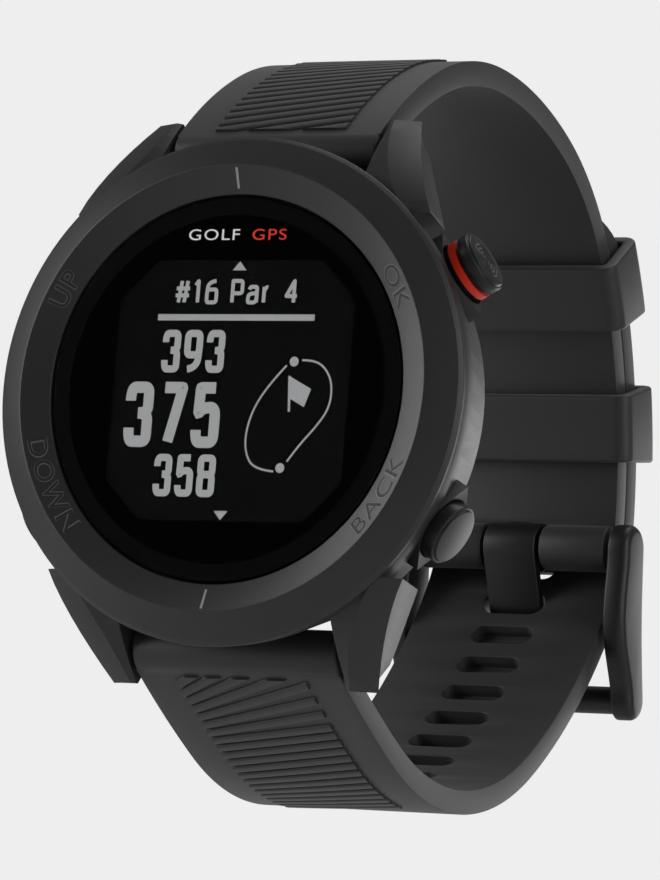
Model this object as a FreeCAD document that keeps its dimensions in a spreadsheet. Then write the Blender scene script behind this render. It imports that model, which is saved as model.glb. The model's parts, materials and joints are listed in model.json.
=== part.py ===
import FreeCAD, Part
import Sketcher
import math
import os
import re

# Golf GPS watch: a parametric assembly of case, display, electronics, buttons, strap and buckle.
#
# Frame: +X points to 3 o'clock, +Z to 12 o'clock and +Y from the glass towards the wrist.
# The origin is the centre of the case's flat back. A "depth" is measured from that back towards
# the glass, so it lies along -Y. All sizes are in millimetres and live in the sheet "sizes".

doc = FreeCAD.newDocument("golf_gps_watch")
sheet = doc.addObject("Spreadsheet::Sheet", "sizes")

SIZES = {
    # case shell
    "case_radius": 21.6, "case_back_radius": 19.5, "shoulder_depth": 7.7, "rim_depth": 9.0,
    "cavity_radius": 17.2, "cover_seat_radius": 18.2, "cover_seat_depth": 1.25,
    # lugs
    "lug_gap": 20.3, "lug_bar_reach": 21.6, "lug_bar_depth": 2.7, "lug_tip_reach": 24.56,
    "lug_root_width": 6.7, "lug_tip_width": 2.5, "lug_tip_front": 0.45, "lug_back_depth": 0.1,
    "lug_tip_rise": 2.3,
    # bezel
    "bezel_radius": 21.85, "bezel_edge_depth": 9.65, "bezel_edge_bevel": 0.35,
    "crest_radius": 19.1, "crest_depth": 11.5, "dish_depth": 10.45, "skirt_length": 0.6,
    # glass and display stack
    "glass_radius": 16.55, "glass_gap": 0.15, "glass_depth": 10.35, "glass_thickness": 1.1,
    "gasket_thickness": 0.15, "ledge_width": 0.8, "window_half": 11.2, "window_corner": 3.4,
    "mask_radius": 15.7, "mask_thickness": 0.1, "panel_half": 12.2, "panel_corner": 4.5,
    "panel_thickness": 1.0, "backlight_half": 11.9, "backlight_thickness": 0.7,
    "holder_radius": 15.75, "holder_wall": 1.0, "holder_floor": 0.7, "holder_opening": 11.2,
    # electronics
    "board_radius": 16.0, "board_thickness": 0.7, "board_depth": 5.8, "chip_thickness": 0.6,
    "shield_length": 14.0, "shield_width": 11.0, "shield_thickness": 0.9,
    "battery_radius": 11.5, "battery_thickness": 2.4, "battery_depth": 1.9, "pad_radius": 9.0,
    "pad_thickness": 0.3, "antenna_width": 1.0, "antenna_height": 1.3, "antenna_depth": 6.9,
    "stack_gap": 0.05, "cable_width": 7.0, "cable_reach": 13.1, "cable_thickness": 0.15,
    "cable_foot": 0.6, "cable_slot_width": 1.7,
    # back cover, screws and charging contacts
    "cover_thickness": 1.0, "cover_gap": 0.1, "screw_circle": 15.4, "screw_head_radius": 1.3,
    "screw_head_height": 0.7, "screw_radius": 0.65, "screw_length": 3.6, "screw_gap": 0.06,
    "boss_radius": 2.0, "boss_depth": 4.6, "contact_pitch": 2.3, "contact_radius": 0.65,
    "contact_offset": 13.0, "contact_block_length": 10.4, "contact_block_width": 3.0,
    "contact_block_height": 0.55,
    "board_screw_circle": 13.6, "board_screw_radius": 0.5, "board_screw_head": 0.95,
    "board_screw_head_height": 0.6,
    # buttons
    "button_angle": 30.0, "button_depth": 4.8, "cap_radius": 2.7, "cap_reach": 23.0,
    "ok_cap_reach": 24.1, "cap_seat": 20.4, "cap_travel": 0.5, "cap_gap": 0.15,
    "stem_radius": 0.7, "stem_end": 15.35, "running_gap": 0.05, "boss_face": 21.6,
    "boss_side": 5.8, "seal_seat": 18.25, "seal_section": 0.28, "spring_pocket_radius": 1.9,
    "spring_seat": 18.9, "spring_radius": 1.4, "spring_wire": 0.13, "spring_pitch": 0.42,
    "clip_radius": 1.5, "clip_thickness": 0.35, "trim_reach": 22.0, "trim_width": 0.6,
    "trim_band": 0.3, "switch_face": 14.7, "switch_length": 1.4, "switch_width": 3.2,
    # strap
    "strap_width": 19.5, "strap_thickness": 2.2, "eye_radius": 2.15, "fold_radius": 41.7,
    "back_centre_depth": -12.8, "back_centre_drop": 2.8, "strap_gap": 0.25,
    "crown_behind": 20.1, "crown_height": 33.05, "belly_behind": 21.1, "belly_drop": 31.8,
    "elbow_behind": 51.15, "elbow_drop": 15.1, "elbow_heading": 50.8,
    "upper_heading": 45.0, "lower_heading": 32.0, "upper_join": 33.4, "tip_angle": 42.0,
    "hole_length": 6.3, "hole_height": 2.3, "hole_pitch": 4.25, "holes_below": 7, "holes_above": 3,
    # spring bars
    "bar_radius": 0.85, "bar_bore": 0.55, "bar_half_length": 9.2, "pin_radius": 0.5,
    "pin_end": 11.0, "pin_start": 7.2, "pin_travel": 0.9, "pin_hole_gap": 0.06,
    "release_knob_radius": 0.45, "release_knob_reach": 2.35, "release_offset": 8.3,
    "bar_spring_radius": 0.36, "bar_spring_wire": 0.09, "bar_spring_pitch": 1.3,
    # keepers
    "keeper_wall": 1.25, "keeper_gap": 0.15, "keeper_side_gap": 0.35, "keeper_span": 9.2,
    "lower_keeper_angle": 13.1,
    "upper_keeper_angle": 31.4, "keeper_round": 1.0,
    # buckle
    "buckle_bar_drop": 5.1, "buckle_eye_inset": 0.35, "buckle_bar_radius": 0.9, "buckle_eye_radius": 2.2,
    "arm_gap": 0.5, "arm_thickness": 2.1, "frame_length": 14.4, "frame_lean": 11.5,
    "crossbar_radius": 1.3, "arm_head_radius": 3.0, "arm_inner_depth": 1.7, "arm_outer_depth": 3.4,
    "tang_tip": 1.2, "tang_width": 5.3, "tang_thickness": 1.1, "tang_hub_radius": 2.3,
    "tang_side_gap": 0.35, "tang_hole_gap": 0.75, "tang_rest_gap": 0.1,
}

for row, (alias, value) in enumerate(SIZES.items(), start=1):
    sheet.set(f"A{row}", alias)
    sheet.set(f"B{row}", str(value))
    sheet.setAlias(f"B{row}", alias)
doc.recompute()

ALONG_Y = FreeCAD.Rotation(FreeCAD.Vector(1, 0, 0), -90)
ALONG_X = FreeCAD.Rotation(FreeCAD.Vector(0, 1, 0), 90)
sub_parts = []


def size(alias):
    """The value of one cell of the sheet."""
    return float(sheet.get(alias))


def bind(item, prop, text):
    """Bind a property to an expression written with the sheet's aliases."""
    words = re.sub(r"[a-z][a-z_]+", lambda m: "sizes." + m.group() if m.group() in SIZES else m.group(), text)
    item.setExpression(prop, words)


def keep(item, label):
    """Mark an object as a finished sub-part and give it its plain name."""
    item.Label = label
    sub_parts.append(item)
    return item


def primitive(kind, name, **sizes_of):
    """A Part primitive whose sizes are bound to the sheet."""
    item = doc.addObject("Part::" + kind, name)
    for prop, text in sizes_of.items():
        bind(item, prop, text)
    return item


def disc(name, radius, back, thickness, across="0", up="0"):
    """A cylinder along Y whose back face is at the depth "back" and which grows to the glass."""
    item = primitive("Cylinder", name, Radius=radius, Height=thickness)
    item.Placement = FreeCAD.Placement(FreeCAD.Vector(), ALONG_Y)
    bind(item, "Placement.Base.x", across)
    bind(item, "Placement.Base.y", f"-({back}) - ({thickness})")
    bind(item, "Placement.Base.z", up)
    return item


def plate(name, length, back, thickness, height, across="0", up="0"):
    """A box centred at (across, up) whose back face is at the depth "back"."""
    item = primitive("Box", name, Length=length, Width=thickness, Height=height)
    bind(item, "Placement.Base.x", f"{across} - ({length}) / 2")
    bind(item, "Placement.Base.y", f"-({back}) - ({thickness})")
    bind(item, "Placement.Base.z", f"{up} - ({height}) / 2")
    return item


def rod(name, radius, start, end, behind, up):
    """A cylinder along X from start to end, "behind" the case's back and at the height "up"."""
    item = primitive("Cylinder", name, Radius=radius, Height=f"({end}) - ({start})")
    item.Placement = FreeCAD.Placement(FreeCAD.Vector(), ALONG_X)
    bind(item, "Placement.Base.x", start)
    bind(item, "Placement.Base.y", behind)
    bind(item, "Placement.Base.z", up)
    return item


def fuse(name, items):
    """One shape from several."""
    joined = doc.addObject("Part::MultiFuse", name)
    joined.Shapes = items
    joined.Refine = True
    return joined


def cut(name, base, tool):
    """The base with the tool taken out of it."""
    result = doc.addObject("Part::Cut", name)
    result.Base = base
    result.Tool = tool
    return result


def group(name, items):
    """Several separate solids in one node."""
    together = doc.addObject("Part::Compound", name)
    together.Links = items
    return together


def freeform(name, shape):
    """A feature whose shape is worked out in this file from the sheet's values."""
    item = doc.addObject("Part::Feature", name)
    item.Shape = shape
    item.Placement = shape.Placement
    return item


def origin_plane(body, role):
    """One of a body's own origin planes."""
    return next(item for item in body.Origin.OriginFeatures if item.Role == role)


def ring_profile(name, corners):
    """A body turned about Y from corners given as (depth, radius) expressions."""
    body = doc.addObject("PartDesign::Body", name)
    sketch = body.newObject("Sketcher::SketchObject", name + "_profile")
    sketch.AttachmentSupport = [(origin_plane(body, "YZ_Plane"), "")]
    sketch.MapMode = "FlatFace"
    count = len(corners)
    spots = [FreeCAD.Vector(-evaluate(depth), evaluate(radius), 0) for depth, radius in corners]
    for index in range(count):
        sketch.addGeometry(Part.LineSegment(spots[index], spots[(index + 1) % count]), False)
    for index in range(count):
        sketch.addConstraint(Sketcher.Constraint("Coincident", index, 2, (index + 1) % count, 1))
    for index, (depth, radius) in enumerate(corners):
        fix_corner(sketch, index, "DistanceX", depth, (index, 1, -1, 1), -2)
        fix_corner(sketch, index, "DistanceY", radius, (-1, 1, index, 1), -1)
    turned = body.newObject("PartDesign::Revolution", name + "_turned")
    turned.Profile = sketch
    turned.ReferenceAxis = (sketch, ["H_Axis"])
    turned.Angle = 360
    return body


def fix_corner(sketch, index, kind, text, ends, axis):
    """Tie one coordinate of a profile's corner to the sheet, or lay it on an axis when it is zero."""
    if text == "0":
        sketch.addConstraint(Sketcher.Constraint("PointOnObject", index, 1, axis))
        return
    number = sketch.addConstraint(Sketcher.Constraint(kind, *ends, evaluate(text)))
    bind(sketch, f"Constraints[{number}]", text)


def evaluate(text):
    """The present value of an expression, read back through a spare cell of the sheet."""
    sheet.set("D1", "=" + text)
    sheet.recompute()
    return float(sheet.get("D1"))


def flat_profile(corners, back, thickness):
    """A plate parallel to the glass, from corners given as numbers (across, up)."""
    points = [FreeCAD.Vector(across, -back, up) for across, up in corners]
    outline = Part.makePolygon(points + points[:1])
    return Part.Face(outline).extrude(FreeCAD.Vector(0, -thickness, 0))


def octagon(half, corner):
    """The corners of a square with cut corners, centred on the glass."""
    near = half - corner
    return [(half, near), (near, half), (-near, half), (-half, near),
            (-half, -near), (-near, -half), (near, -half), (half, -near)]


# ---------------------------------------------------------------- case shell

LUG_STEPS = 7
SPRING_TURNS = 3
BAR_SPRING_TURNS = 9
BUTTONS = {"ok": ("button_angle", "ok_cap_reach"), "back": ("-button_angle", "cap_reach"),
           "up": ("180 - button_angle", "cap_reach"), "down": ("180 + button_angle", "cap_reach")}


def radial(item, angle, reach, depth="button_depth"):
    """Turn a primitive's own axis outwards along the angle and start it at the reach."""
    item.Placement = FreeCAD.Placement(FreeCAD.Vector(), FreeCAD.Rotation(FreeCAD.Vector(0, 1, 0), 90))
    item.setExpression("Placement.Rotation.Axis.y", "1")
    bind(item, "Placement.Rotation.Angle", f"90 - ({angle})")
    bind(item, "Placement.Base.x", f"({reach}) * cos({angle})")
    bind(item, "Placement.Base.y", f"-({depth})")
    bind(item, "Placement.Base.z", f"({reach}) * sin({angle})")
    return item


def radial_rod(name, radius, angle, start, end):
    """A cylinder along a button's axis between two distances from the middle of the case."""
    item = primitive("Cylinder", name, Radius=radius, Height=f"({end}) - ({start})")
    return radial(item, angle, start)


def lug_section(reach):
    """One lug's outline at a distance from the middle: the inner wall, two ridges and the back."""
    root, tip = size("cavity_radius") * 0.9, size("lug_tip_reach")
    part = (reach - root) / (tip - root)
    inner = size("lug_gap") / 2
    width = size("lug_root_width") + (size("lug_tip_width") - size("lug_root_width")) * part
    tip_front = size("lug_bar_depth") + size("lug_tip_front")
    front = size("rim_depth") + (tip_front - size("rim_depth")) * part ** 1.6
    ridge = inner + width * (0.70 - 0.57 * part)
    side = inner + width
    back = size("lug_back_depth") + size("lug_tip_rise") * max(0.0, part - 0.7) / 0.3
    foot = inner + width * 0.67
    return [(inner, front - 0.4), (ridge, front), (side, front - 1.05), (foot, back), (inner, back)]


def lug(name, side, way):
    """One lug, lofted through outlines that narrow and fall away towards its tip."""
    root, tip = size("cavity_radius") * 0.9, size("lug_tip_reach")
    wires = []
    for step in range(LUG_STEPS + 1):
        reach = root + (tip - root) * step / LUG_STEPS
        corners = [FreeCAD.Vector(side * across, -depth, way * reach) for across, depth in lug_section(reach)]
        wires.append(Part.makePolygon(corners + corners[:1]))
    return freeform(name, Part.makeLoft(wires, True, True))


def button_boss(name, angle):
    """The four-sided pad that a button sits in, turned so that a corner points at the glass."""
    pad = primitive("Box", name, Length="boss_side", Width="boss_side",
                    Height="boss_face - cavity_radius - 1")
    turn = FreeCAD.Rotation(FreeCAD.Vector(0, 0, 1), 45)
    lift = FreeCAD.Placement(FreeCAD.Vector(), turn)
    half = size("boss_side") / 2
    corner = lift.multVec(FreeCAD.Vector(-half, -half, 0))
    facing = FreeCAD.Rotation(FreeCAD.Vector(0, 1, 0), 90 - angle)
    start = size("cavity_radius") + 1
    heading = FreeCAD.Vector(math.cos(math.radians(angle)), 0, math.sin(math.radians(angle)))
    middle = heading * start + FreeCAD.Vector(0, -size("button_depth"), 0)
    pad.Placement = FreeCAD.Placement(middle + facing.multVec(corner), facing.multiply(turn))
    return pad


def case_body():
    """The moulded case: wall, four lugs, four button bosses and four screw bosses, then its holes."""
    wall = ring_profile("case_wall", [
        ("0", "cover_seat_radius"), ("0", "case_back_radius"), ("shoulder_depth", "case_radius"),
        ("rim_depth - 0.25", "case_radius"), ("rim_depth", "case_radius - 0.3"),
        ("rim_depth", "cavity_radius"), ("cover_seat_depth", "cavity_radius"),
        ("cover_seat_depth", "cover_seat_radius")])
    solids = [wall]
    for way in (1, -1):
        for side in (1, -1):
            solids.append(lug(f"lug_{way}_{side}".replace("-", "n"), side, way))
    for name, (angle, reach) in BUTTONS.items():
        solids.append(button_boss(name + "_boss", evaluate(angle)))
    for number in range(4):
        angle = f"(60 + {number // 2 * 180} + {number % 2 * 60})"
        solids.append(disc(f"screw_boss_{number}", "boss_radius", "cover_seat_depth",
                           "boss_depth - cover_seat_depth",
                           f"screw_circle * cos({angle})", f"screw_circle * sin({angle})"))
    return cut("case_shell", fuse("case_solid", solids), fuse("case_holes", case_holes()))


def case_holes():
    """Button pockets and bores, spring bar holes, screw holes, and the space inside the wall."""
    tools = []
    for name, (angle, reach) in BUTTONS.items():
        tools.append(radial_rod(name + "_pocket", "cap_radius + cap_gap", angle, "cap_seat", "ok_cap_reach"))
        tools.append(radial_rod(name + "_spring_pocket", "spring_pocket_radius", angle,
                                "spring_seat", "cap_seat + 0.1"))
        tools.append(radial_rod(name + "_bore", "stem_radius + running_gap", angle,
                                "cavity_radius - 1", "spring_seat + 0.1"))
        tools.append(radial_rod(name + "_seal_groove", "stem_radius + 2 * seal_section + 0.04", angle,
                                "seal_seat - seal_section - 0.02", "seal_seat + seal_section + 0.02"))
    for way in ("1", "-1"):
        tools.append(rod("bar_hole_" + way.replace("-", "n"), "pin_radius + pin_hole_gap",
                         "-(pin_end + 0.2)", "pin_end + 0.2", "-lug_bar_depth", f"{way} * lug_bar_reach"))
        tools.append(rod("strap_relief_" + way.replace("-", "n"), "eye_radius + strap_gap",
                         "-lug_gap / 2", "lug_gap / 2", "-lug_bar_depth", f"{way} * lug_bar_reach"))
    for number in range(4):
        angle = f"(60 + {number // 2 * 180} + {number % 2 * 60})"
        tools.append(disc(f"screw_hole_{number}", "screw_radius + screw_gap", "0",
                          "screw_length + 0.8", f"screw_circle * cos({angle})",
                          f"screw_circle * sin({angle})"))
    return tools


keep(case_body(), "case_body")

# ---------------------------------------------------------------- bezel and glass

keep(ring_profile("bezel_ring", [
    ("rim_depth", "case_radius - 0.3"), ("rim_depth + 0.25", "bezel_radius"),
    ("bezel_edge_depth", "bezel_radius"),
    ("bezel_edge_depth + bezel_edge_bevel", "bezel_radius - bezel_edge_bevel"),
    ("crest_depth", "crest_radius"), ("dish_depth", "glass_radius + glass_gap"),
    ("glass_depth - glass_thickness - gasket_thickness", "glass_radius + glass_gap"),
    ("glass_depth - glass_thickness - gasket_thickness", "glass_radius + glass_gap - ledge_width"),
    ("rim_depth - skirt_length", "glass_radius + glass_gap - ledge_width"),
    ("rim_depth - skirt_length", "cavity_radius - 0.1"), ("rim_depth", "cavity_radius - 0.1")]), "bezel")

keep(ring_profile("glass_disc", [
    ("glass_depth - glass_thickness", "0"), ("glass_depth - glass_thickness", "glass_radius"),
    ("glass_depth - 0.2", "glass_radius"), ("glass_depth", "glass_radius - 0.2"),
    ("glass_depth", "0")]), "lens")

keep(cut("gasket_ring",
         disc("gasket_outer", "glass_radius", "glass_depth - glass_thickness - gasket_thickness",
              "gasket_thickness"),
         disc("gasket_inner", "mask_radius + 0.25", "glass_depth - glass_thickness - gasket_thickness - 1",
              "gasket_thickness + 2")), "lens_gasket")


def lens_mask():
    """The black border printed behind the glass, with the eight-sided window of the display."""
    back = size("glass_depth") - size("glass_thickness") - size("mask_thickness")
    window = flat_profile(octagon(size("window_half"), size("window_corner")), back - 1,
                          size("mask_thickness") + 2)
    border = Part.makeCylinder(size("mask_radius"), size("mask_thickness"),
                               FreeCAD.Vector(0, -back - size("mask_thickness"), 0), FreeCAD.Vector(0, 1, 0))
    return freeform("mask_ring", border.cut(window))


PANEL_BACK = "glass_depth - glass_thickness - mask_thickness - stack_gap - panel_thickness"
LIGHT_BACK = PANEL_BACK + " - stack_gap - backlight_thickness"
HOLDER_FLOOR = LIGHT_BACK + " - holder_floor"

keep(lens_mask(), "lens_mask")
keep(freeform("panel_plate", flat_profile(octagon(size("panel_half"), size("panel_corner")),
                                          evaluate(PANEL_BACK), size("panel_thickness"))), "display_panel")
keep(freeform("light_plate", flat_profile(octagon(size("backlight_half"), size("panel_corner")),
                                          evaluate(LIGHT_BACK), size("backlight_thickness"))), "backlight")
BOARD_SCREW_ANGLES = (0, 90, 270)


def display_frame():
    """The holder that carries the display stack, with screw holes and a slot for the flat cable."""
    ring = ring_profile("holder_ring", [
        (HOLDER_FLOOR, "holder_opening"), (HOLDER_FLOOR, "holder_radius"),
        ("glass_depth - glass_thickness - mask_thickness - 0.1", "holder_radius"),
        ("glass_depth - glass_thickness - mask_thickness - 0.1", "holder_radius - holder_wall"),
        (LIGHT_BACK, "holder_radius - holder_wall"), (LIGHT_BACK, "holder_opening")])
    tools = [plate("cable_slot", "cable_slot_width", HOLDER_FLOOR + " - 1", "holder_floor + 1.05",
                   "cable_width + 0.6", "-cable_reach + 0.2")]
    for number, angle in enumerate(BOARD_SCREW_ANGLES):
        tools.append(disc(f"holder_hole_{number}", "board_screw_radius + screw_gap", HOLDER_FLOOR + " - 1",
                          "holder_floor + 2", f"board_screw_circle * cos({angle})",
                          f"board_screw_circle * sin({angle})"))
    return cut("holder_cut", ring, fuse("holder_cuts", tools))


keep(display_frame(), "display_frame")

# ---------------------------------------------------------------- electronics

BOARD_FRONT = "board_depth + board_thickness"


def antenna():
    """The positioning antenna, a ring just inside the case wall."""
    return cut("antenna_cut",
               disc("antenna_outer", "cavity_radius - stack_gap", "antenna_depth", "antenna_height"),
               disc("antenna_inner", "cavity_radius - stack_gap - antenna_width", "antenna_depth - 1",
                    "antenna_height + 2"))


def main_board():
    """The round circuit board with clearance holes for its three screws."""
    holes = [disc(f"board_hole_{number}", "board_screw_radius + screw_gap", "board_depth - 1",
                  "board_thickness + 2", f"board_screw_circle * cos({angle})",
                  f"board_screw_circle * sin({angle})") for number, angle in enumerate(BOARD_SCREW_ANGLES)]
    return cut("board_cut", disc("board_disc", "board_radius", "board_depth", "board_thickness"),
               fuse("board_holes", holes))


def board_screws():
    """Three screws from the back of the board into the display's holder."""
    solids = []
    for number, angle in enumerate(BOARD_SCREW_ANGLES):
        across = f"board_screw_circle * cos({angle})"
        up = f"board_screw_circle * sin({angle})"
        head = disc(f"board_screw_head_{number}", "board_screw_head",
                    "board_depth - board_screw_head_height", "board_screw_head_height", across, up)
        shank = disc(f"board_screw_shank_{number}", "board_screw_radius", "board_depth - 0.1",
                     f"{HOLDER_FLOOR} - board_depth + 0.5", across, up)
        solids.append(fuse(f"board_screw_{number}", [head, shank]))
    return group("board_screw_set", solids)


def switches():
    """Four click switches on the back of the board, each facing a button's stem."""
    solids = []
    for name, (angle, reach) in BUTTONS.items():
        block = primitive("Box", name + "_switch", Length="switch_width", Width="switch_width * 0.56",
                          Height="switch_length")
        degrees = evaluate(angle)
        facing = FreeCAD.Rotation(FreeCAD.Vector(0, 1, 0), 90 - degrees)
        heading = FreeCAD.Vector(math.cos(math.radians(degrees)), 0, math.sin(math.radians(degrees)))
        corner = facing.multVec(FreeCAD.Vector(-size("switch_width") / 2, 0, 0))
        start = heading * (size("switch_face") - size("switch_length"))
        block.Placement = FreeCAD.Placement(
            start + corner + FreeCAD.Vector(0, -size("board_depth"), 0), facing)
        solids.append(block)
    return group("switch_set", solids)


def display_cable():
    """The flat cable: from the display's edge, down through the holder's slot, to a foot on the board."""
    thick, wide, reach = size("cable_thickness"), size("cable_width"), size("cable_reach")
    edge = size("panel_half") + 0.02
    top = evaluate(PANEL_BACK) + size("panel_thickness") / 2
    foot = evaluate(BOARD_FRONT) + 0.02
    outline = [(top, -edge), (top, -reach - thick), (foot, -reach - thick),
               (foot, -reach + size("cable_foot")),
               (foot + 0.1, -reach + size("cable_foot")), (foot + 0.1, -reach), (top - thick, -reach),
               (top - thick, -edge)]
    points = [FreeCAD.Vector(across, -depth, -wide / 2) for depth, across in outline]
    face = Part.Face(Part.makePolygon(points + points[:1]))
    return freeform("display_flex", face.extrude(FreeCAD.Vector(0, 0, wide)))


def contacts():
    """Four charging contacts in a row in the back cover."""
    solids = [disc(f"contact_{number}", "contact_radius", "0.1", "cover_thickness",
                   f"({number} - 1.5) * contact_pitch", "-contact_offset") for number in range(4)]
    return group("contact_set", solids)


def contact_holes():
    """The contacts' and screws' holes through the back cover."""
    tools = [disc(f"contact_hole_{number}", "contact_radius + 0.05", "-1", "cover_thickness + 2",
                  f"({number} - 1.5) * contact_pitch", "-contact_offset") for number in range(4)]
    for number in range(4):
        angle = f"(60 + {number // 2 * 180} + {number % 2 * 60})"
        across = f"screw_circle * cos({angle})"
        up = f"screw_circle * sin({angle})"
        tools.append(disc(f"head_hole_{number}", "screw_head_radius + screw_gap", "-1",
                          "1 + screw_head_height + 0.05", across, up))
        tools.append(disc(f"shank_hole_{number}", "screw_radius + screw_gap", "-1",
                          "cover_thickness + 2", across, up))
    return fuse("cover_holes", tools)


def back_screws():
    """Four cross-head screws that hold the back cover."""
    solids = []
    for number in range(4):
        angle = f"(60 + {number // 2 * 180} + {number % 2 * 60})"
        across = f"screw_circle * cos({angle})"
        up = f"screw_circle * sin({angle})"
        head = disc(f"screw_head_{number}", "screw_head_radius", "0.05", "screw_head_height", across, up)
        shank = disc(f"screw_shank_{number}", "screw_radius", "0.1", "screw_length", across, up)
        slot = plate(f"screw_slot_{number}", "screw_head_radius * 1.4", "-0.2", "0.45", "0.25", across, up)
        cross = plate(f"screw_cross_{number}", "0.25", "-0.2", "0.45", "screw_head_radius * 1.4", across, up)
        solids.append(cut(f"back_screw_{number}", fuse(f"screw_solid_{number}", [head, shank]),
                          fuse(f"screw_cuts_{number}", [slot, cross])))
    return group("back_screw_set", solids)


keep(antenna(), "gps_antenna")
keep(main_board(), "main_board")
keep(board_screws(), "board_screws")
keep(switches(), "button_switches")
keep(group("chip_set", [
    plate("processor", "6", BOARD_FRONT, "chip_thickness", "6", "-3", "3"),
    plate("memory_chip", "4", BOARD_FRONT, "chip_thickness", "5", "4.5", "3.5"),
    plate("power_chip", "3", BOARD_FRONT, "chip_thickness", "3", "4", "-4"),
    plate("clock_crystal", "3.2", BOARD_FRONT, "chip_thickness", "1.5", "-3", "-4")]), "board_chips")
keep(plate("shield", "shield_length", "board_depth - shield_thickness - 0.02", "shield_thickness",
           "shield_width"), "shield_can")
keep(disc("battery_disc", "battery_radius", "battery_depth", "battery_thickness"), "battery")
keep(disc("pad_disc", "pad_radius", "battery_depth + battery_thickness + 0.02", "pad_thickness"),
     "battery_pad")
keep(display_cable(), "display_cable")
keep(plate("cable_plate", "0.25", "battery_depth + 0.6", "board_depth - battery_depth - 0.65", "4",
           "-(battery_radius + 0.3)"), "battery_cable")
keep(plate("contact_holder", "contact_block_length", "cover_thickness + 0.12", "contact_block_height",
           "contact_block_width", "0", "-contact_offset"), "contact_block")
keep(cut("cover_gasket", disc("cover_gasket_outer", "cover_seat_radius - 0.15", "cover_thickness + 0.02",
                              "cover_seat_depth - cover_thickness - 0.04"),
         disc("cover_gasket_inner", "cavity_radius + 0.15", "0", "cover_seat_depth + 1")), "case_gasket")
keep(cut("cover_plate", disc("cover_disc", "cover_seat_radius - cover_gap", "0", "cover_thickness"),
         contact_holes()), "back_cover")
keep(contacts(), "charge_contacts")
keep(back_screws(), "back_screws")

# ---------------------------------------------------------------- buttons


def button(name, angle, reach):
    """A button's cap with its stem, which ends in a narrow neck for the retaining clip."""
    neck = "clip_thickness + 0.1"
    clip_at = "cavity_radius - 0.1 - clip_thickness"
    solids = [radial_rod(name + "_head", "cap_radius", angle, f"{reach} - 1.2", f"{reach} - 0.25"),
              radial_rod(name + "_face", "cap_radius - 0.25", angle, f"{reach} - 0.3", reach),
              radial_rod(name + "_skirt", "cap_radius - trim_band", angle, "cap_seat + cap_travel + 0.05",
                         f"{reach} - 1.1"),
              radial_rod(name + "_stem", "stem_radius", angle, clip_at + " + clip_thickness + 0.02",
                         "cap_seat + cap_travel + 0.1"),
              radial_rod(name + "_neck", "stem_radius - 0.2", angle, clip_at + " - 0.1",
                         clip_at + " + clip_thickness + 0.1"),
              radial_rod(name + "_end", "stem_radius", angle, "stem_end", clip_at + " - 0.02")]
    if reach == "cap_reach":
        solids.append(radial_rod(name + "_body", "cap_radius", angle, "cap_seat + cap_travel + 0.35",
                                 f"{reach} - 1.1"))
    return fuse(name + "_push", solids)


def coil(name, angle):
    """The small return spring between the case and the button's cap, drawn as its separate turns."""
    turns = []
    for number in range(SPRING_TURNS):
        turn = primitive("Torus", f"{name}_turn_{number}", Radius1="spring_radius", Radius2="spring_wire")
        turns.append(radial(turn, angle, f"spring_seat + spring_wire + 0.02 + {number} * spring_pitch"))
    return group(name + "_coil", turns)


for name, (angle, reach) in BUTTONS.items():
    keep(button(name, angle, reach), name + "_button")
    seal = primitive("Torus", name + "_ring", Radius1="stem_radius + seal_section + 0.01",
                     Radius2="seal_section")
    keep(radial(seal, angle, "seal_seat"), name + "_seal")
    keep(cut(name + "_clip_cut",
             radial_rod(name + "_clip_outer", "clip_radius", angle, "cavity_radius - 0.1 - clip_thickness",
                        "cavity_radius - 0.1"),
             radial_rod(name + "_clip_bore", "stem_radius - 0.18", angle, "cavity_radius - 2",
                        "cavity_radius + 1")), name + "_clip")
    keep(coil(name, angle), name + "_spring")

keep(cut("trim_cut",
         radial_rod("trim_outer", "cap_radius + 0.02", "button_angle", "trim_reach",
                    "trim_reach + trim_width"),
         radial_rod("trim_inner", "cap_radius - trim_band", "button_angle", "trim_reach - 1",
                    "trim_reach + trim_width + 1")), "ok_ring")

# ---------------------------------------------------------------- strap path
# A path lies in the YZ plane and runs from the lug over the strap's outside to the back. The lower
# strap's path is worked out with Z turned over, so both bend the same way and "outside" is the left.

Y_OF_BACK = -size("back_centre_depth")


def joined_arcs(start, heading, end, end_heading):
    """Two arcs that leave one point and reach another with given headings, in degrees."""
    first = FreeCAD.Vector(math.cos(math.radians(heading)), math.sin(math.radians(heading)), 0)
    last = FreeCAD.Vector(math.cos(math.radians(end_heading)), math.sin(math.radians(end_heading)), 0)
    gap = end - start
    both = first + last
    spread = 2 * (1 - first.dot(last))
    along = gap.dot(both)
    reach = (math.sqrt(along ** 2 + spread * gap.dot(gap)) - along) / spread
    middle = (start + first * reach + end - last * reach) * 0.5
    turn = (end - last * reach) - (start + first * reach)
    return [arc_between(start, first, middle), arc_between(middle, turn.normalize(), end)]


def arc_between(start, way, end):
    """One arc as (centre, radius, first angle, swept angle, side), leaving start along "way"."""
    normal = FreeCAD.Vector(-way.y, way.x, 0)
    gap = end - start
    bend = 2 * gap.dot(normal) / gap.dot(gap)
    centre = start + normal * (1 / bend)
    first = math.atan2(start.y - centre.y, start.x - centre.x)
    last = math.atan2(end.y - centre.y, end.x - centre.x)
    swept = (last - first) % (2 * math.pi)
    if bend < 0:
        swept -= 2 * math.pi
    return centre, abs(1 / bend), first, swept, (1 if bend < 0 else -1)


def on_arc(arc, part, offset):
    """The point a share of the way along an arc, moved outwards by the offset."""
    centre, radius, first, swept, side = arc
    angle = first + swept * part
    reach = radius + offset * side
    return FreeCAD.Vector(centre.x + reach * math.cos(angle), centre.y + reach * math.sin(angle), 0)


def path_length(path):
    """The length of a path along its middle line."""
    return sum(abs(arc[1] * arc[3]) for arc in path)


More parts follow.
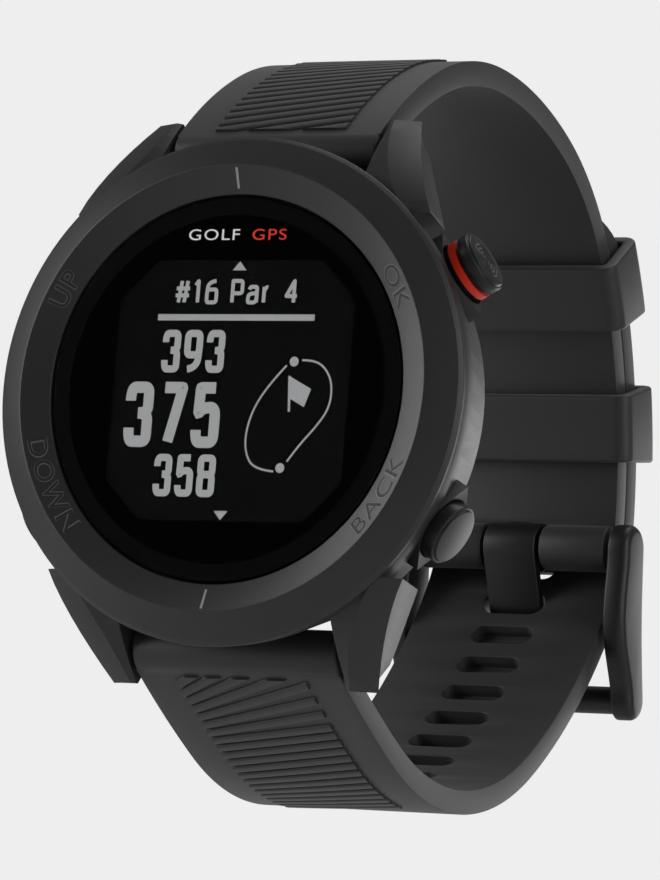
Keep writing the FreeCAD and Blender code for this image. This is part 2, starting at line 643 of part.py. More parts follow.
def on_path(path, distance, offset=0.0):
    """The point at a distance along the path, moved outwards by the offset, and the heading there."""
    for arc in path:
        length = abs(arc[1] * arc[3])
        if distance <= length or arc is path[-1]:
            part = distance / length
            angle = arc[2] + arc[3] * part
            heading = angle + (math.pi / 2 if arc[3] > 0 else -math.pi / 2)
            return on_arc(arc, part, offset), heading
        distance -= length


def lug_start(heading):
    """Where a path leaves the eye round the spring bar, so that the strap's outside meets the eye."""
    outwards = size("eye_radius") - size("strap_thickness") / 2
    bar = FreeCAD.Vector(-size("lug_bar_depth"), size("lug_bar_reach"), 0)
    angle = math.radians(heading)
    return bar + FreeCAD.Vector(-math.sin(angle), math.cos(angle), 0) * outwards


def back_point(centre, radius, angle):
    """A point of the strap's back, which is an arc round one centre."""
    angle = math.radians(angle)
    return centre + FreeCAD.Vector(math.cos(angle), math.sin(angle), 0) * radius


def back_arc(centre, radius, first, last):
    """The arc of the strap's back from one angle down to another."""
    return centre, radius, math.radians(first), math.radians(last - first), 1


def upper_path():
    """The middle line of the strap half that carries the buckle."""
    centre = FreeCAD.Vector(Y_OF_BACK, -size("back_centre_drop"), 0)
    radius = size("fold_radius")
    join = size("upper_join")
    crown = FreeCAD.Vector(size("crown_behind"), size("crown_height"), 0)
    last = math.degrees(math.asin((size("back_centre_drop") - size("buckle_bar_drop")) / radius))
    heading = size("upper_heading")
    return (joined_arcs(lug_start(heading), heading, crown, 0)
            + joined_arcs(crown, 0, back_point(centre, radius, join), join - 90)
            + [back_arc(centre, radius, join, last)])


def lower_path():
    """The middle line of the strap half with the holes, turned over so that it starts upwards."""
    centre = FreeCAD.Vector(Y_OF_BACK, size("back_centre_drop"), 0)
    radius = size("fold_radius") + size("strap_thickness") + size("strap_gap")
    belly = FreeCAD.Vector(size("belly_behind"), size("belly_drop"), 0)
    elbow = FreeCAD.Vector(size("elbow_behind"), size("elbow_drop"), 0)
    heading = size("lower_heading")
    return (joined_arcs(lug_start(heading), heading, belly, 0)
            + joined_arcs(belly, 0, elbow, -size("elbow_heading"))
            + joined_arcs(elbow, -size("elbow_heading"), back_point(centre, radius, 0), -90)
            + [back_arc(centre, radius, 0, -size("tip_angle"))])


def band(path, way):
    """The strap's solid: its thickness drawn along both sides of the path, as wide as the strap."""
    half = size("strap_thickness") / 2
    start = -size("strap_width") / 2
    edges = []
    outer = [[on_arc(arc, part, half) for part in (0, 0.5, 1)] for arc in path]
    inner = [[on_arc(arc, part, -half) for part in (1, 0.5, 0)] for arc in reversed(path)]
    runs = [[FreeCAD.Vector(start, spot.x, way * spot.y) for spot in run] for run in outer + inner]
    for number, run in enumerate(runs):
        edges.append(Part.Arc(*run).toShape())
        following = runs[(number + 1) % len(runs)]
        if (run[2] - following[0]).Length > 1e-6:
            edges.append(Part.LineSegment(run[2], following[0]).toShape())
    face = Part.Face(Part.Wire(edges))
    return face.extrude(FreeCAD.Vector(size("strap_width"), 0, 0))


def bar_along_x(radius, half_length, behind, up):
    """A plain cylinder along X, centred on the strap."""
    return Part.makeCylinder(radius, 2 * half_length, FreeCAD.Vector(-half_length, behind, up),
                             FreeCAD.Vector(1, 0, 0))


def block(length, deep, tall, middle):
    """A plain box about a middle point."""
    corner = middle - FreeCAD.Vector(length, deep, tall) * 0.5
    return Part.makeBox(length, deep, tall, corner)


# ---------------------------------------------------------------- buckle places

PATH_UP = upper_path()
PATH_LOW = lower_path()
BUCKLE_BAR = FreeCAD.Vector(
    0, Y_OF_BACK + math.sqrt((size("fold_radius") + size("strap_thickness") / 2) ** 2
                             - (size("buckle_bar_drop") - size("back_centre_drop")) ** 2)
    - size("buckle_eye_radius") - size("buckle_eye_inset"), -size("buckle_bar_drop"))
LEAN = math.radians(size("frame_lean"))
DOWN_FRAME = FreeCAD.Vector(0, math.sin(LEAN), -math.cos(LEAN))
OUT_OF_FRAME = FreeCAD.Vector(0, math.cos(LEAN), math.sin(LEAN))
CROSSBAR = BUCKLE_BAR + DOWN_FRAME * size("frame_length")


def on_frame(down, out):
    """A point given down the buckle's frame from its bar and outwards from the wrist."""
    return BUCKLE_BAR + DOWN_FRAME * down + OUT_OF_FRAME * out


def tang_line():
    """The middle line of the tang's strip: its start by the bar, its direction and its length."""
    at_bar = size("tang_hub_radius") - size("tang_thickness") / 2
    at_rest = size("crossbar_radius") + size("tang_rest_gap") + size("tang_thickness") / 2
    tilt = math.asin((at_bar + at_rest) / size("frame_length"))
    start = on_frame(at_bar * math.sin(tilt), -at_bar * math.cos(tilt))
    way = DOWN_FRAME * math.cos(tilt) + OUT_OF_FRAME * math.sin(tilt)
    length = size("frame_length") * math.cos(tilt) + size("tang_tip")
    return start, way, length


def tang_crossing():
    """The distance along the lower strap's path at which the tang passes through it."""
    start, way, _ = tang_line()
    low, high = path_length(PATH_LOW[:4]), path_length(PATH_LOW[:6])
    for step in range(40):
        middle = (low + high) / 2
        spot, _ = on_path(PATH_LOW, middle)
        gap = FreeCAD.Vector(0, spot.x, -spot.y) - start
        beside = gap.y * way.z - gap.z * way.y
        if beside > 0:
            low = middle
        else:
            high = middle
    return middle


# ---------------------------------------------------------------- strap halves


def eye(strap, behind, up, radius, bore):
    """Close a strap's end round a bar: a barrel along X with a bore through it."""
    half = size("strap_width") / 2
    rounded = strap.fuse(bar_along_x(radius, half, behind, up))
    return rounded.cut(bar_along_x(bore, half + 1, behind, up))


def release_slot(way):
    """The slot in the wrist side of an eye for the spring bar's release knob and its travel."""
    length = 2 * size("release_knob_radius") + size("pin_travel") + 4 * size("running_gap")
    middle = FreeCAD.Vector(size("release_offset") - size("pin_travel") / 2,
                            -size("lug_bar_depth") + size("eye_radius") / 2 + 0.3,
                            way * size("lug_bar_reach"))
    return block(length, size("eye_radius") + 0.6, 2 * size("release_knob_radius") + 0.2, middle)


def upper_strap():
    """The strap half that carries the buckle, notched in the middle for the tang."""
    strap = band(PATH_UP, 1)
    strap = eye(strap, -size("lug_bar_depth"), size("lug_bar_reach"), size("eye_radius"),
                size("bar_radius") + size("running_gap"))
    strap = eye(strap, BUCKLE_BAR.y, BUCKLE_BAR.z, size("buckle_eye_radius"),
                size("buckle_bar_radius") + size("running_gap"))
    notch = bar_along_x(size("tang_hub_radius") + size("tang_side_gap"),
                        size("tang_width") / 2 + size("tang_side_gap"), BUCKLE_BAR.y, BUCKLE_BAR.z)
    return strap.cut(notch).cut(release_slot(1)).removeSplitter()


def strap_hole(distance):
    """A long round-ended hole across the strap, square to it at a distance along the path."""
    spot, heading = on_path(PATH_LOW, distance)
    radius = size("hole_height") / 2
    straight = size("hole_length") - 2 * radius
    deep = 3 * size("strap_thickness")
    tool = block(straight, size("hole_height"), deep, FreeCAD.Vector())
    for side in (-1, 1):
        middle = FreeCAD.Vector(side * straight / 2, 0, -deep / 2)
        tool = tool.fuse(Part.makeCylinder(radius, deep, middle))
    tool = tool.removeSplitter()
    turn = FreeCAD.Rotation(FreeCAD.Vector(1, 0, 0), -math.degrees(heading))
    tool.Placement = FreeCAD.Placement(FreeCAD.Vector(0, spot.x, -spot.y), turn)
    return tool


def lower_strap():
    """The strap half with the row of holes; the tang passes through one of them."""
    strap = band(PATH_LOW, -1)
    strap = eye(strap, -size("lug_bar_depth"), -size("lug_bar_reach"), size("eye_radius"),
                size("bar_radius") + size("running_gap"))
    crossing = tang_crossing()
    for number in range(-int(size("holes_below")), int(size("holes_above")) + 1):
        if number != 0:
            strap = strap.cut(strap_hole(crossing + number * size("hole_pitch")))
    _, way, _ = tang_line()
    spot, _ = on_path(PATH_LOW, crossing)
    slot = block(size("hole_length"), size("tang_thickness") + 2 * size("tang_hole_gap"),
                 4 * size("strap_thickness"), FreeCAD.Vector())
    turn = FreeCAD.Rotation(FreeCAD.Vector(0, 0, -1), way)
    slot.Placement = FreeCAD.Placement(FreeCAD.Vector(0, spot.x, -spot.y), turn)
    return strap.cut(slot).cut(release_slot(-1)).removeSplitter()


keep(freeform("upper_strap_shape", upper_strap()), "upper_strap")
keep(freeform("lower_strap_shape", lower_strap()), "lower_strap")

# ---------------------------------------------------------------- spring bars


def spring_bar(name, way):
    """A tube with a sprung pin at each end; the right pin has a knob that draws it in by hand."""
    up = f"{way} * lug_bar_reach"
    tube = cut(name + "_tube_bored", rod(name + "_tube_outer", "bar_radius", "-bar_half_length",
                                         "bar_half_length", "-lug_bar_depth", up),
               rod(name + "_tube_bore", "bar_bore", "-bar_half_length - 1", "bar_half_length + 1",
                   "-lug_bar_depth", up))
    slot = freeform(name + "_tube_slot", release_slot(way))
    keep(cut(name + "_tube", tube, slot), name + "_bar_tube")
    keep(rod(name + "_left", "pin_radius", "-pin_end", "-pin_start", "-lug_bar_depth", up),
         name + "_bar_left_pin")
    knob = primitive("Cylinder", name + "_knob", Radius="release_knob_radius", Height="release_knob_reach")
    knob.Placement = FreeCAD.Placement(FreeCAD.Vector(), ALONG_Y)
    bind(knob, "Placement.Base.x", "release_offset")
    bind(knob, "Placement.Base.y", "-lug_bar_depth")
    bind(knob, "Placement.Base.z", up)
    pin = rod(name + "_right", "pin_radius", "pin_start", "pin_end", "-lug_bar_depth", up)
    keep(fuse(name + "_release", [pin, knob]), name + "_bar_release_pin")
    turns = []
    for number in range(BAR_SPRING_TURNS):
        turn = primitive("Torus", f"{name}_bar_turn_{number}", Radius1="bar_spring_radius",
                         Radius2="bar_spring_wire")
        turn.Placement = FreeCAD.Placement(FreeCAD.Vector(), ALONG_X)
        bind(turn, "Placement.Base.x", f"({number} - {BAR_SPRING_TURNS // 2}) * bar_spring_pitch")
        bind(turn, "Placement.Base.y", "-lug_bar_depth")
        bind(turn, "Placement.Base.z", up)
        turns.append(turn)
    keep(group(name + "_bar_coil", turns), name + "_bar_spring")


spring_bar("upper", 1)
spring_bar("lower", -1)

# ---------------------------------------------------------------- keepers


def rounded_rectangle(half, near, far, corner):
    """A rectangle in the plane of X and the distance from the back arc's centre, with round corners."""
    cut_in = corner * (1 - math.sqrt(0.5))
    wire = []
    signs = [(1, far, -1), (-1, far, -1), (-1, near, 1), (1, near, 1)]
    arcs = []
    for side, edge, inwards in signs:
        along = FreeCAD.Vector(side * (half - corner), edge, 0)
        across = FreeCAD.Vector(side * half, edge + inwards * corner, 0)
        bulge = FreeCAD.Vector(side * (half - cut_in), edge + inwards * cut_in, 0)
        arcs.append((across, bulge, along) if side * inwards < 0 else (along, bulge, across))
    for number, spots in enumerate(arcs):
        wire.append(Part.Arc(*spots).toShape())
        wire.append(Part.LineSegment(spots[2], arcs[(number + 1) % 4][0]).toShape())
    return Part.Wire(wire)


def keeper(middle_angle):
    """A loop round both strap halves that slides along the arc of the strap's back."""
    near = size("fold_radius") - size("strap_thickness") / 2 - size("keeper_gap")
    far = near + 2 * size("strap_thickness") + size("strap_gap") + 2 * size("keeper_gap")
    half = size("strap_width") / 2 + size("keeper_side_gap")
    wall = size("keeper_wall")
    outer = Part.Face(rounded_rectangle(half + wall, near - wall, far + wall, size("keeper_round") + 0.5))
    inner = Part.Face(rounded_rectangle(half, near, far, 0.3))
    span = size("keeper_span")
    loop = outer.cut(inner).revolve(FreeCAD.Vector(), FreeCAD.Vector(1, 0, 0), span)
    start = middle_angle - span / 2
    loop.rotate(FreeCAD.Vector(), FreeCAD.Vector(1, 0, 0), start)
    loop.translate(FreeCAD.Vector(0, Y_OF_BACK, -size("back_centre_drop")))
    return loop


keep(freeform("lower_keeper_loop", keeper(size("lower_keeper_angle"))), "lower_keeper")
keep(freeform("upper_keeper_loop", keeper(size("upper_keeper_angle"))), "upper_keeper")

# ---------------------------------------------------------------- buckle


def arm(side):
    """One side arm of the buckle's frame: a broad head round the bar that narrows to the crossbar."""
    inner = size("strap_width") / 2 + size("arm_gap")
    head = size("arm_head_radius")
    foot = size("crossbar_radius")
    long = size("frame_length")
    spots = [(0.0, -head * 0.8), (long * 0.55, -size("arm_inner_depth")), (long, -foot), (long + foot, 0.0),
             (long, foot), (long * 0.6, size("arm_outer_depth")), (head * 0.5, size("arm_outer_depth") + 0.2),
             (-head * 0.85, head * 0.3)]
    points = [on_frame(down, out) for down, out in spots]
    edges = []
    for first in range(0, 8, 2):
        edges.append(Part.Arc(points[first], points[first + 1], points[(first + 2) % 8]).toShape())
    face = Part.Face(Part.Wire(edges))
    start = inner if side > 0 else -inner - size("arm_thickness")
    plate_shape = face.extrude(FreeCAD.Vector(size("arm_thickness"), 0, 0))
    plate_shape.translate(FreeCAD.Vector(start, 0, 0))
    return plate_shape


def buckle_frame():
    """The U-shaped frame: two arms and the crossbar on which the tang rests."""
    inner = size("strap_width") / 2 + size("arm_gap")
    frame = bar_along_x(size("crossbar_radius"), inner + size("arm_thickness") / 2, CROSSBAR.y, CROSSBAR.z)
    for side in (1, -1):
        frame = frame.fuse(arm(side))
    bore = bar_along_x(size("buckle_bar_radius"), inner + size("arm_thickness") * 0.6,
                       BUCKLE_BAR.y, BUCKLE_BAR.z)
    return frame.cut(bore).removeSplitter()


def tang():
    """The tang: a barrel that turns on the bar, and a strip that passes out through the strap."""
    start, way, length = tang_line()
    half = size("tang_width") / 2
    thick = size("tang_thickness")
    barrel = bar_along_x(size("tang_hub_radius"), half, BUCKLE_BAR.y, BUCKLE_BAR.z)
    strip = block(2 * half, thick, length, FreeCAD.Vector(0, 0, -length / 2))
    strip = strip.makeFillet(thick * 0.45, [edge for edge in strip.Edges
                                            if abs(edge.CenterOfMass.z + length) < 1e-6
                                            and abs(edge.CenterOfMass.x) < 1e-6])
    strip.Placement = FreeCAD.Placement(start, FreeCAD.Rotation(FreeCAD.Vector(0, 0, -1), way))
    bore = bar_along_x(size("buckle_bar_radius") + size("running_gap"), half + 1, BUCKLE_BAR.y, BUCKLE_BAR.z)
    return barrel.fuse(strip).cut(bore).removeSplitter()


keep(freeform("buckle_frame_shape", buckle_frame()), "buckle_frame")
keep(freeform("tang_shape", tang()), "buckle_tang")
keep(freeform("buckle_bar_shape",
              bar_along_x(size("buckle_bar_radius") - 0.005,
                          size("strap_width") / 2 + size("arm_gap") + size("arm_thickness") * 0.6,
                          BUCKLE_BAR.y, BUCKLE_BAR.z)), "buckle_bar")

# ---------------------------------------------------------------- write the sub-parts


def write_parts():
    """Check every object, then write each sub-part to its own file."""
    doc.recompute()
    for item in doc.Objects:
        if "Invalid" in item.State or "Error" in item.State:
            raise RuntimeError(f"{item.Name} is in state {item.State}")
    for item in sub_parts:
        if item.Shape.isNull() or not item.Shape.isValid():
            raise RuntimeError(f"{item.Label} has no valid shape")
    os.makedirs("parts", exist_ok=True)
    for item in sub_parts:
        item.Shape.exportStep(f"parts/{item.Label}.step")
        print(f"{item.Label}: {len(item.Shape.Solids)} solid(s), {item.Shape.Volume:.2f} mm3")


write_parts()
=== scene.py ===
# %% [markdown]
# # A golf GPS watch
# The watch is a round moulded case with four angular lugs, a dished bezel ring round a flat glass,
# four push buttons and a buckled silicone strap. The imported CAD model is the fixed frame: every piece
# here takes its place from it, and rides on one of its bodies.

# %% Load the frame
import bpy
import bmesh
import json
import math
from mathutils import Matrix, Vector


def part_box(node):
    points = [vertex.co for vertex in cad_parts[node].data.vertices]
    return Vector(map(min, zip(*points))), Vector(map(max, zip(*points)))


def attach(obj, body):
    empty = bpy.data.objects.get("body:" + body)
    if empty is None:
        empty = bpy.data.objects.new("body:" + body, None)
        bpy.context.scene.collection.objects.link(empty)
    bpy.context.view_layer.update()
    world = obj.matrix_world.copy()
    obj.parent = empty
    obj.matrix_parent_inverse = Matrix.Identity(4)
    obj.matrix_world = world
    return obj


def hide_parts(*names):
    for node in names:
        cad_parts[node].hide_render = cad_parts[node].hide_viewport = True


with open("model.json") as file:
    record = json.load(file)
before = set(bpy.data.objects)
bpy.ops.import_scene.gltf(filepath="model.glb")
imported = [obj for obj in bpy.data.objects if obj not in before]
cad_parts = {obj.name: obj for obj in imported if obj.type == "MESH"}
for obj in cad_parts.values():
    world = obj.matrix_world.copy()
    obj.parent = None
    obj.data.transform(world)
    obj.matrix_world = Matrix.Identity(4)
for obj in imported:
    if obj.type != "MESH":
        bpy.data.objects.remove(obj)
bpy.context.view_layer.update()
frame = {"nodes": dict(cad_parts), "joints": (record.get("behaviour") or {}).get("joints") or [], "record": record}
MM = 0.001
nodes = frame["nodes"]

# %% [markdown]
# ## Camera, light and floor
# A long lens far away keeps the circle of the bezel close to a true ellipse. The camera stands a
# little below the middle of the watch, to its right, and is rolled by a few degrees.

# %% Camera
CAMERA_AZIMUTH = math.radians(26.18)
CAMERA_ELEVATION = math.radians(-7.46)
CAMERA_ROLL = math.radians(4.49)
CAMERA_DISTANCE = 431.8 * MM
CAMERA_SIDESTEP = Vector((4.48, -2.79)) * MM


def camera_turn(azimuth, elevation, roll):
    """The camera's own axes: right, up and back."""
    back = Vector((math.sin(azimuth) * math.cos(elevation), -math.cos(azimuth) * math.cos(elevation),
                   math.sin(elevation)))
    level = Vector((math.cos(azimuth), math.sin(azimuth), 0))
    upright = back.cross(level)
    right = level * math.cos(roll) + upright * math.sin(roll)
    up = back.cross(right)
    return Matrix((right, up, back)).transposed()


turn = camera_turn(CAMERA_AZIMUTH, CAMERA_ELEVATION, CAMERA_ROLL)
camera_data = bpy.data.cameras.new("camera")
camera_data.lens = 204.5
camera_data.sensor_width = 36
camera = bpy.data.objects.new("camera", camera_data)
bpy.context.scene.collection.objects.link(camera)
spot = turn @ Vector((CAMERA_SIDESTEP.x, CAMERA_SIDESTEP.y, CAMERA_DISTANCE))
camera.matrix_world = Matrix.Translation(spot) @ turn.to_4x4()
bpy.context.scene.camera = camera
bpy.context.scene.view_settings.view_transform = "Standard"
print("camera at", [round(value, 3) for value in spot])


# %% Helpers for colours, nodes and pieces
def colour(text, alpha=1.0):
    """A linear colour from an sRGB hex value."""
    parts = [int(text[place:place + 2], 16) / 255 for place in (1, 3, 5)]
    linear = [part / 12.92 if part <= 0.04045 else ((part + 0.055) / 1.055) ** 2.4 for part in parts]
    return (*linear, alpha)


def add_node(tree, kind, values=None, **settings):
    """Add one node, set its settings, and fill or link its sockets."""
    item = tree.nodes.new(kind)
    for name, value in settings.items():
        setattr(item, name, value)
    for name, value in (values or {}).items():
        if isinstance(value, bpy.types.NodeSocket):
            tree.links.new(value, item.inputs[name])
        else:
            item.inputs[name].default_value = value
    return item


def new_material(name):
    """An empty material and its output node."""
    material = bpy.data.materials.new(name)
    material.use_nodes = True
    tree = material.node_tree
    tree.nodes.clear()
    return material, tree, add_node(tree, "ShaderNodeOutputMaterial")


def new_piece(name, mesh_or_bm, material, body="watch", smooth_angle=35):
    """Put a finished mesh in the scene with its material, riding on a body."""
    if isinstance(mesh_or_bm, bmesh.types.BMesh):
        mesh = bpy.data.meshes.new(name)
        mesh_or_bm.to_mesh(mesh)
        mesh_or_bm.free()
    else:
        mesh = mesh_or_bm
    for face in mesh.polygons:
        face.use_smooth = True
    mesh.set_sharp_from_angle(angle=math.radians(smooth_angle))
    mesh.materials.clear()
    mesh.materials.append(material)
    piece = bpy.data.objects.new(name, mesh)
    bpy.context.scene.collection.objects.link(piece)
    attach(piece, body)
    return piece


def mesh_of(data, change=None):
    """The mesh that a curve or a mesh gives once evaluated; change may add modifiers to it first."""
    item = bpy.data.objects.new(data.name, data)
    bpy.context.scene.collection.objects.link(item)
    if change:
        change(item)
    view = bpy.context.evaluated_depsgraph_get()
    result = bpy.data.meshes.new_from_object(item.evaluated_get(view))
    bpy.data.objects.remove(item)
    return result


# %% [markdown]
# The room is a plain pale studio: a pale sky all round, a floor well below the watch, and large soft
# lamps. The sky is bright to the camera but dim as a light, so that black parts stay black. A lamp on the
# left draws the highlights of the bezel, and one on the right lifts the strap's edges out of the dark.

# %% Studio
SKY_GLOW = 0.20
FLOOR_LIFT = 0.3
FLOOR_LEVEL = -0.16
FLOOR_HALF = 1.5


def area_lamp(name, place, target, width, height, power):
    """A soft rectangular lamp that faces the target."""
    data = bpy.data.lights.new(name, "AREA")
    data.shape = "RECTANGLE"
    data.size = width
    data.size_y = height
    data.energy = power
    lamp = bpy.data.objects.new(name, data)
    bpy.context.scene.collection.objects.link(lamp)
    place = Vector(place)
    aim = (place - Vector(target)).to_track_quat("Z", "Y").to_matrix().to_4x4()
    lamp.matrix_world = Matrix.Translation(place) @ aim


def studio():
    """The pale sky, the floor and the lamps."""
    world = bpy.data.worlds.new("pale_studio")
    bpy.context.scene.world = world
    world.use_nodes = True
    tree = world.node_tree
    tree.nodes.clear()
    ray = add_node(tree, "ShaderNodeLightPath")
    level = add_node(tree, "ShaderNodeMapRange", {"Value": ray.outputs["Is Camera Ray"], "To Min": SKY_GLOW,
                                                  "To Max": 1.0})
    sky = add_node(tree, "ShaderNodeBackground", {"Color": colour("#eeeeee"),
                                                  "Strength": level.outputs["Result"]})
    add_node(tree, "ShaderNodeOutputWorld", {"Surface": sky.outputs[0]})
    bm = bmesh.new()
    bmesh.ops.create_grid(bm, x_segments=1, y_segments=1, size=FLOOR_HALF)
    bmesh.ops.translate(bm, verts=bm.verts, vec=(0, 0, FLOOR_LEVEL))
    mesh = bpy.data.meshes.new("floor")
    bm.to_mesh(mesh)
    bm.free()
    material, tree, out = new_material("pale_paper_floor")
    ray = add_node(tree, "ShaderNodeLightPath")
    level = add_node(tree, "ShaderNodeMapRange", {"Value": ray.outputs["Is Camera Ray"], "To Min": 0.0,
                                                  "To Max": FLOOR_LIFT})
    paper = add_node(tree, "ShaderNodeBsdfPrincipled", {
        "Base Color": colour("#e9e9e9"), "Roughness": 0.9, "Emission Color": colour("#eeeeee"),
        "Emission Strength": level.outputs["Result"]})
    tree.links.new(paper.outputs[0], out.inputs[0])
    mesh.materials.append(material)
    floor = bpy.data.objects.new("floor", mesh)
    bpy.context.scene.collection.objects.link(floor)
    area_lamp("key_lamp", (-0.55, -0.30, 0.16), (0, 0.02, 0), 0.35, 0.45, 1.9)
    area_lamp("right_lamp", (0.55, -0.10, 0.12), (0, 0.03, 0), 0.30, 0.50, 1.1)
    area_lamp("top_lamp", (0.05, 0.20, 0.55), (0, 0.03, 0), 0.40, 0.30, 0.85)
    area_lamp("back_lamp", (0.10, 0.60, -0.05), (0, 0.03, 0), 0.40, 0.30, 0.8)


studio()

# %% [markdown]
# ## Finishes
# Most of this watch is black, so the finishes differ by how they break up the light. Moulded
# fibre-filled polymer has a fine even grain, silicone is silky with a broad soft sheen, the buckle has a
# bead-blasted coating, and the glass is the only polished surface. Each pattern's size is in millimetres.


# %% Finish makers
DRIFT_MM, DRIFT_DETAIL = 3.0, 4.0
PLAIN_ROUGH_SPREAD = 0.05


def grain(tree, size_mm, detail=2.0):
    """A noise pattern whose spots are about size_mm across, on the piece's own coordinates."""
    place = add_node(tree, "ShaderNodeTexCoord")
    return add_node(tree, "ShaderNodeTexNoise", {"Vector": place.outputs["Object"],
                                                 "Scale": 1 / (size_mm * MM), "Detail": detail})


def black_finish(name, dark, light, rough, rough_spread, grain_mm, bump_mm, metallic=0.0, shine=0.5,
                 sheen=0.0):
    """A near-black finish: fine grain in the bump and roughness, and slow drifts in the colour."""
    material, tree, out = new_material(name)
    fine = grain(tree, grain_mm)
    slow = grain(tree, DRIFT_MM, DRIFT_DETAIL)
    shade = add_node(tree, "ShaderNodeMix", {"Factor": slow.outputs["Fac"], "A": colour(dark),
                                             "B": colour(light)}, data_type="RGBA")
    level = add_node(tree, "ShaderNodeMapRange", {"Value": fine.outputs["Fac"],
                                                  "To Min": rough - rough_spread,
                                                  "To Max": rough + rough_spread})
    bump = add_node(tree, "ShaderNodeBump", {"Height": fine.outputs["Fac"], "Distance": bump_mm * MM,
                                             "Strength": 1.0 if bump_mm else 0.0})
    shader = add_node(tree, "ShaderNodeBsdfPrincipled", {
        "Base Color": shade.outputs["Result"], "Roughness": level.outputs["Result"],
        "Normal": bump.outputs["Normal"], "Metallic": metallic, "Specular IOR Level": shine,
        "Sheen Weight": sheen, "Sheen Roughness": 0.5})
    tree.links.new(shader.outputs[0], out.inputs[0])
    return material


def plain_finish(name, dark, light, rough, metallic=0.0, grain_mm=0.4, bump_mm=0.01, shine=0.5):
    """A finish for the small and inner pieces: two close tones and a light grain."""
    return black_finish(name, dark, light, rough, PLAIN_ROUGH_SPREAD, grain_mm, bump_mm, metallic, shine)


def tone_with_painted_glow(name, text, strength):
    """A flat pale tone for the display's lit marks and for printing, with a painted glow: its emission stands in
    for the light that they catch.
    """
    material, tree, out = new_material(name)
    shader = add_node(tree, "ShaderNodeBsdfPrincipled", {
        "Base Color": colour(text), "Roughness": 0.6, "Emission Color": colour(text),
        "Emission Strength": strength})
    tree.links.new(shader.outputs[0], out.inputs[0])
    return material


GLASS_IOR = 1.16


def cover_glass():
    """Polished cover glass, clear, with the faint smears that a finger leaves in its gloss."""
    material, tree, out = new_material("polished_cover_glass")
    smear = grain(tree, 6.0, 3.0)
    level = add_node(tree, "ShaderNodeMapRange", {"Value": smear.outputs["Fac"], "To Min": 0.015,
                                                  "To Max": 0.05})
    shader = add_node(tree, "ShaderNodeBsdfPrincipled", {
        "Base Color": colour("#f2f4f5"), "Roughness": level.outputs["Result"], "IOR": GLASS_IOR,
        "Transmission Weight": 1.0})
    tree.links.new(shader.outputs[0], out.inputs[0])
    return material


# %% Finishes by name
case_polymer = black_finish("fibre_filled_case_polymer", "#262627", "#2b2b2d", 0.47, 0.07, 0.10, 0.006)
bezel_polymer = black_finish("satin_bezel_polymer", "#252527", "#2a2a2c", 0.40, 0.05, 0.10, 0.005)
silicone = black_finish("silky_silicone", "#222223", "#272728", 0.50, 0.06, 0.12, 0.004, sheen=0.12)
buckle_coat = black_finish("bead_blasted_buckle_coating", "#1a1a1c", "#202022", 0.42, 0.07, 0.08, 0.006,
                           metallic=0.2)
button_coat = black_finish("dark_button_coating", "#1c1c1e", "#242426", 0.38, 0.06, 0.08, 0.005, metallic=0.3)
red_lacquer = plain_finish("orange_red_lacquer", "#dc2408", "#e62d0c", 0.35, bump_mm=0.001)
ink = plain_finish("black_border_ink", "#020202", "#030303", 0.5, bump_mm=0, shine=0.05)
panel_black = plain_finish("dark_display_panel", "#040404", "#060606", 0.6, bump_mm=0, shine=0.05)
# The display's marks glow a little from their emission: a painted glow that stands in for the light they catch.
lit_grey = tone_with_painted_glow("pale_display_pixels", "#b2b2b2", 0.42)
# Button labels: a dark tone that paints the shade of a sunk letter, and a pale tone that paints the highlight
# along its edges.
painted_shade_letter_tone = plain_finish("painted_shade_letter_floor", "#1c1c1d", "#202022", 0.6, bump_mm=0.001)
painted_rim_highlight = plain_finish("painted_highlight_rim_of_letters", "#5a5a5c", "#626264", 0.45, bump_mm=0.001)
tick_grey = plain_finish("grey_index_paint", "#9a9a9c", "#a2a2a4", 0.5)
# The title is white and red print with a painted glow from its emission.
title_white = tone_with_painted_glow("white_title_print", "#e4e4e4", 0.35)
title_red = tone_with_painted_glow("red_title_print", "#d8321c", 0.35)
steel = plain_finish("turned_stainless_steel", "#9a9a9c", "#a8a8aa", 0.3, 1.0)
film = plain_finish("copper_polyimide_film", "#a5622c", "#b87333", 0.4, 0.3)
board_mask = plain_finish("green_solder_mask", "#0d3f22", "#11502c", 0.35)
tin = plain_finish("tin_plated_sheet", "#b4b4ae", "#c2c2bc", 0.35, 1.0)
epoxy = plain_finish("moulded_chip_epoxy", "#151516", "#1b1b1c", 0.6)
pouch = plain_finish("aluminised_battery_pouch", "#8a8f96", "#989da4", 0.35, 0.8)
foam = plain_finish("black_foam_pad", "#1c1c1c", "#242424", 0.9)
gold = plain_finish("gold_plated_contact", "#c99a3b", "#d9ac4b", 0.28, 1.0)
white_film = plain_finish("white_light_guide_film", "#d8d8d4", "#e4e4e0", 0.5)
seal_rubber = plain_finish("black_seal_rubber", "#0e0e0e", "#131313", 0.7)
glass = cover_glass()
print("materials:", len(bpy.data.materials))

# %% [markdown]
# ## Inner pieces
# The pieces inside the case keep their CAD shapes, and each gets the finish of what it is made of.

# %% Finishes on the CAD nodes
FINISH_OF_SLOT = {
    "case_polymer": case_polymer, "bezel_polymer": bezel_polymer, "cover_glass": glass,
    "black_print": ink, "display": panel_black, "white_film": white_film, "holder_plastic": epoxy,
    "circuit_board": board_mask, "tin_plate": tin, "chip_epoxy": epoxy, "steel": steel,
    "gold_contact": gold, "battery_wrap": pouch, "foam": foam, "copper_film": film,
    "seal_rubber": seal_rubber, "button_metal": button_coat, "red_trim": red_lacquer,
    "silicone": silicone, "buckle_metal": buckle_coat}
slot_of_node = {part["node"]: part["material_slot"] for part in frame["record"]["subparts"]}
for name, item in nodes.items():
    item.data.materials.clear()
    item.data.materials.append(FINISH_OF_SLOT[slot_of_node[name]])
print("nodes given a finish:", len(slot_of_node))


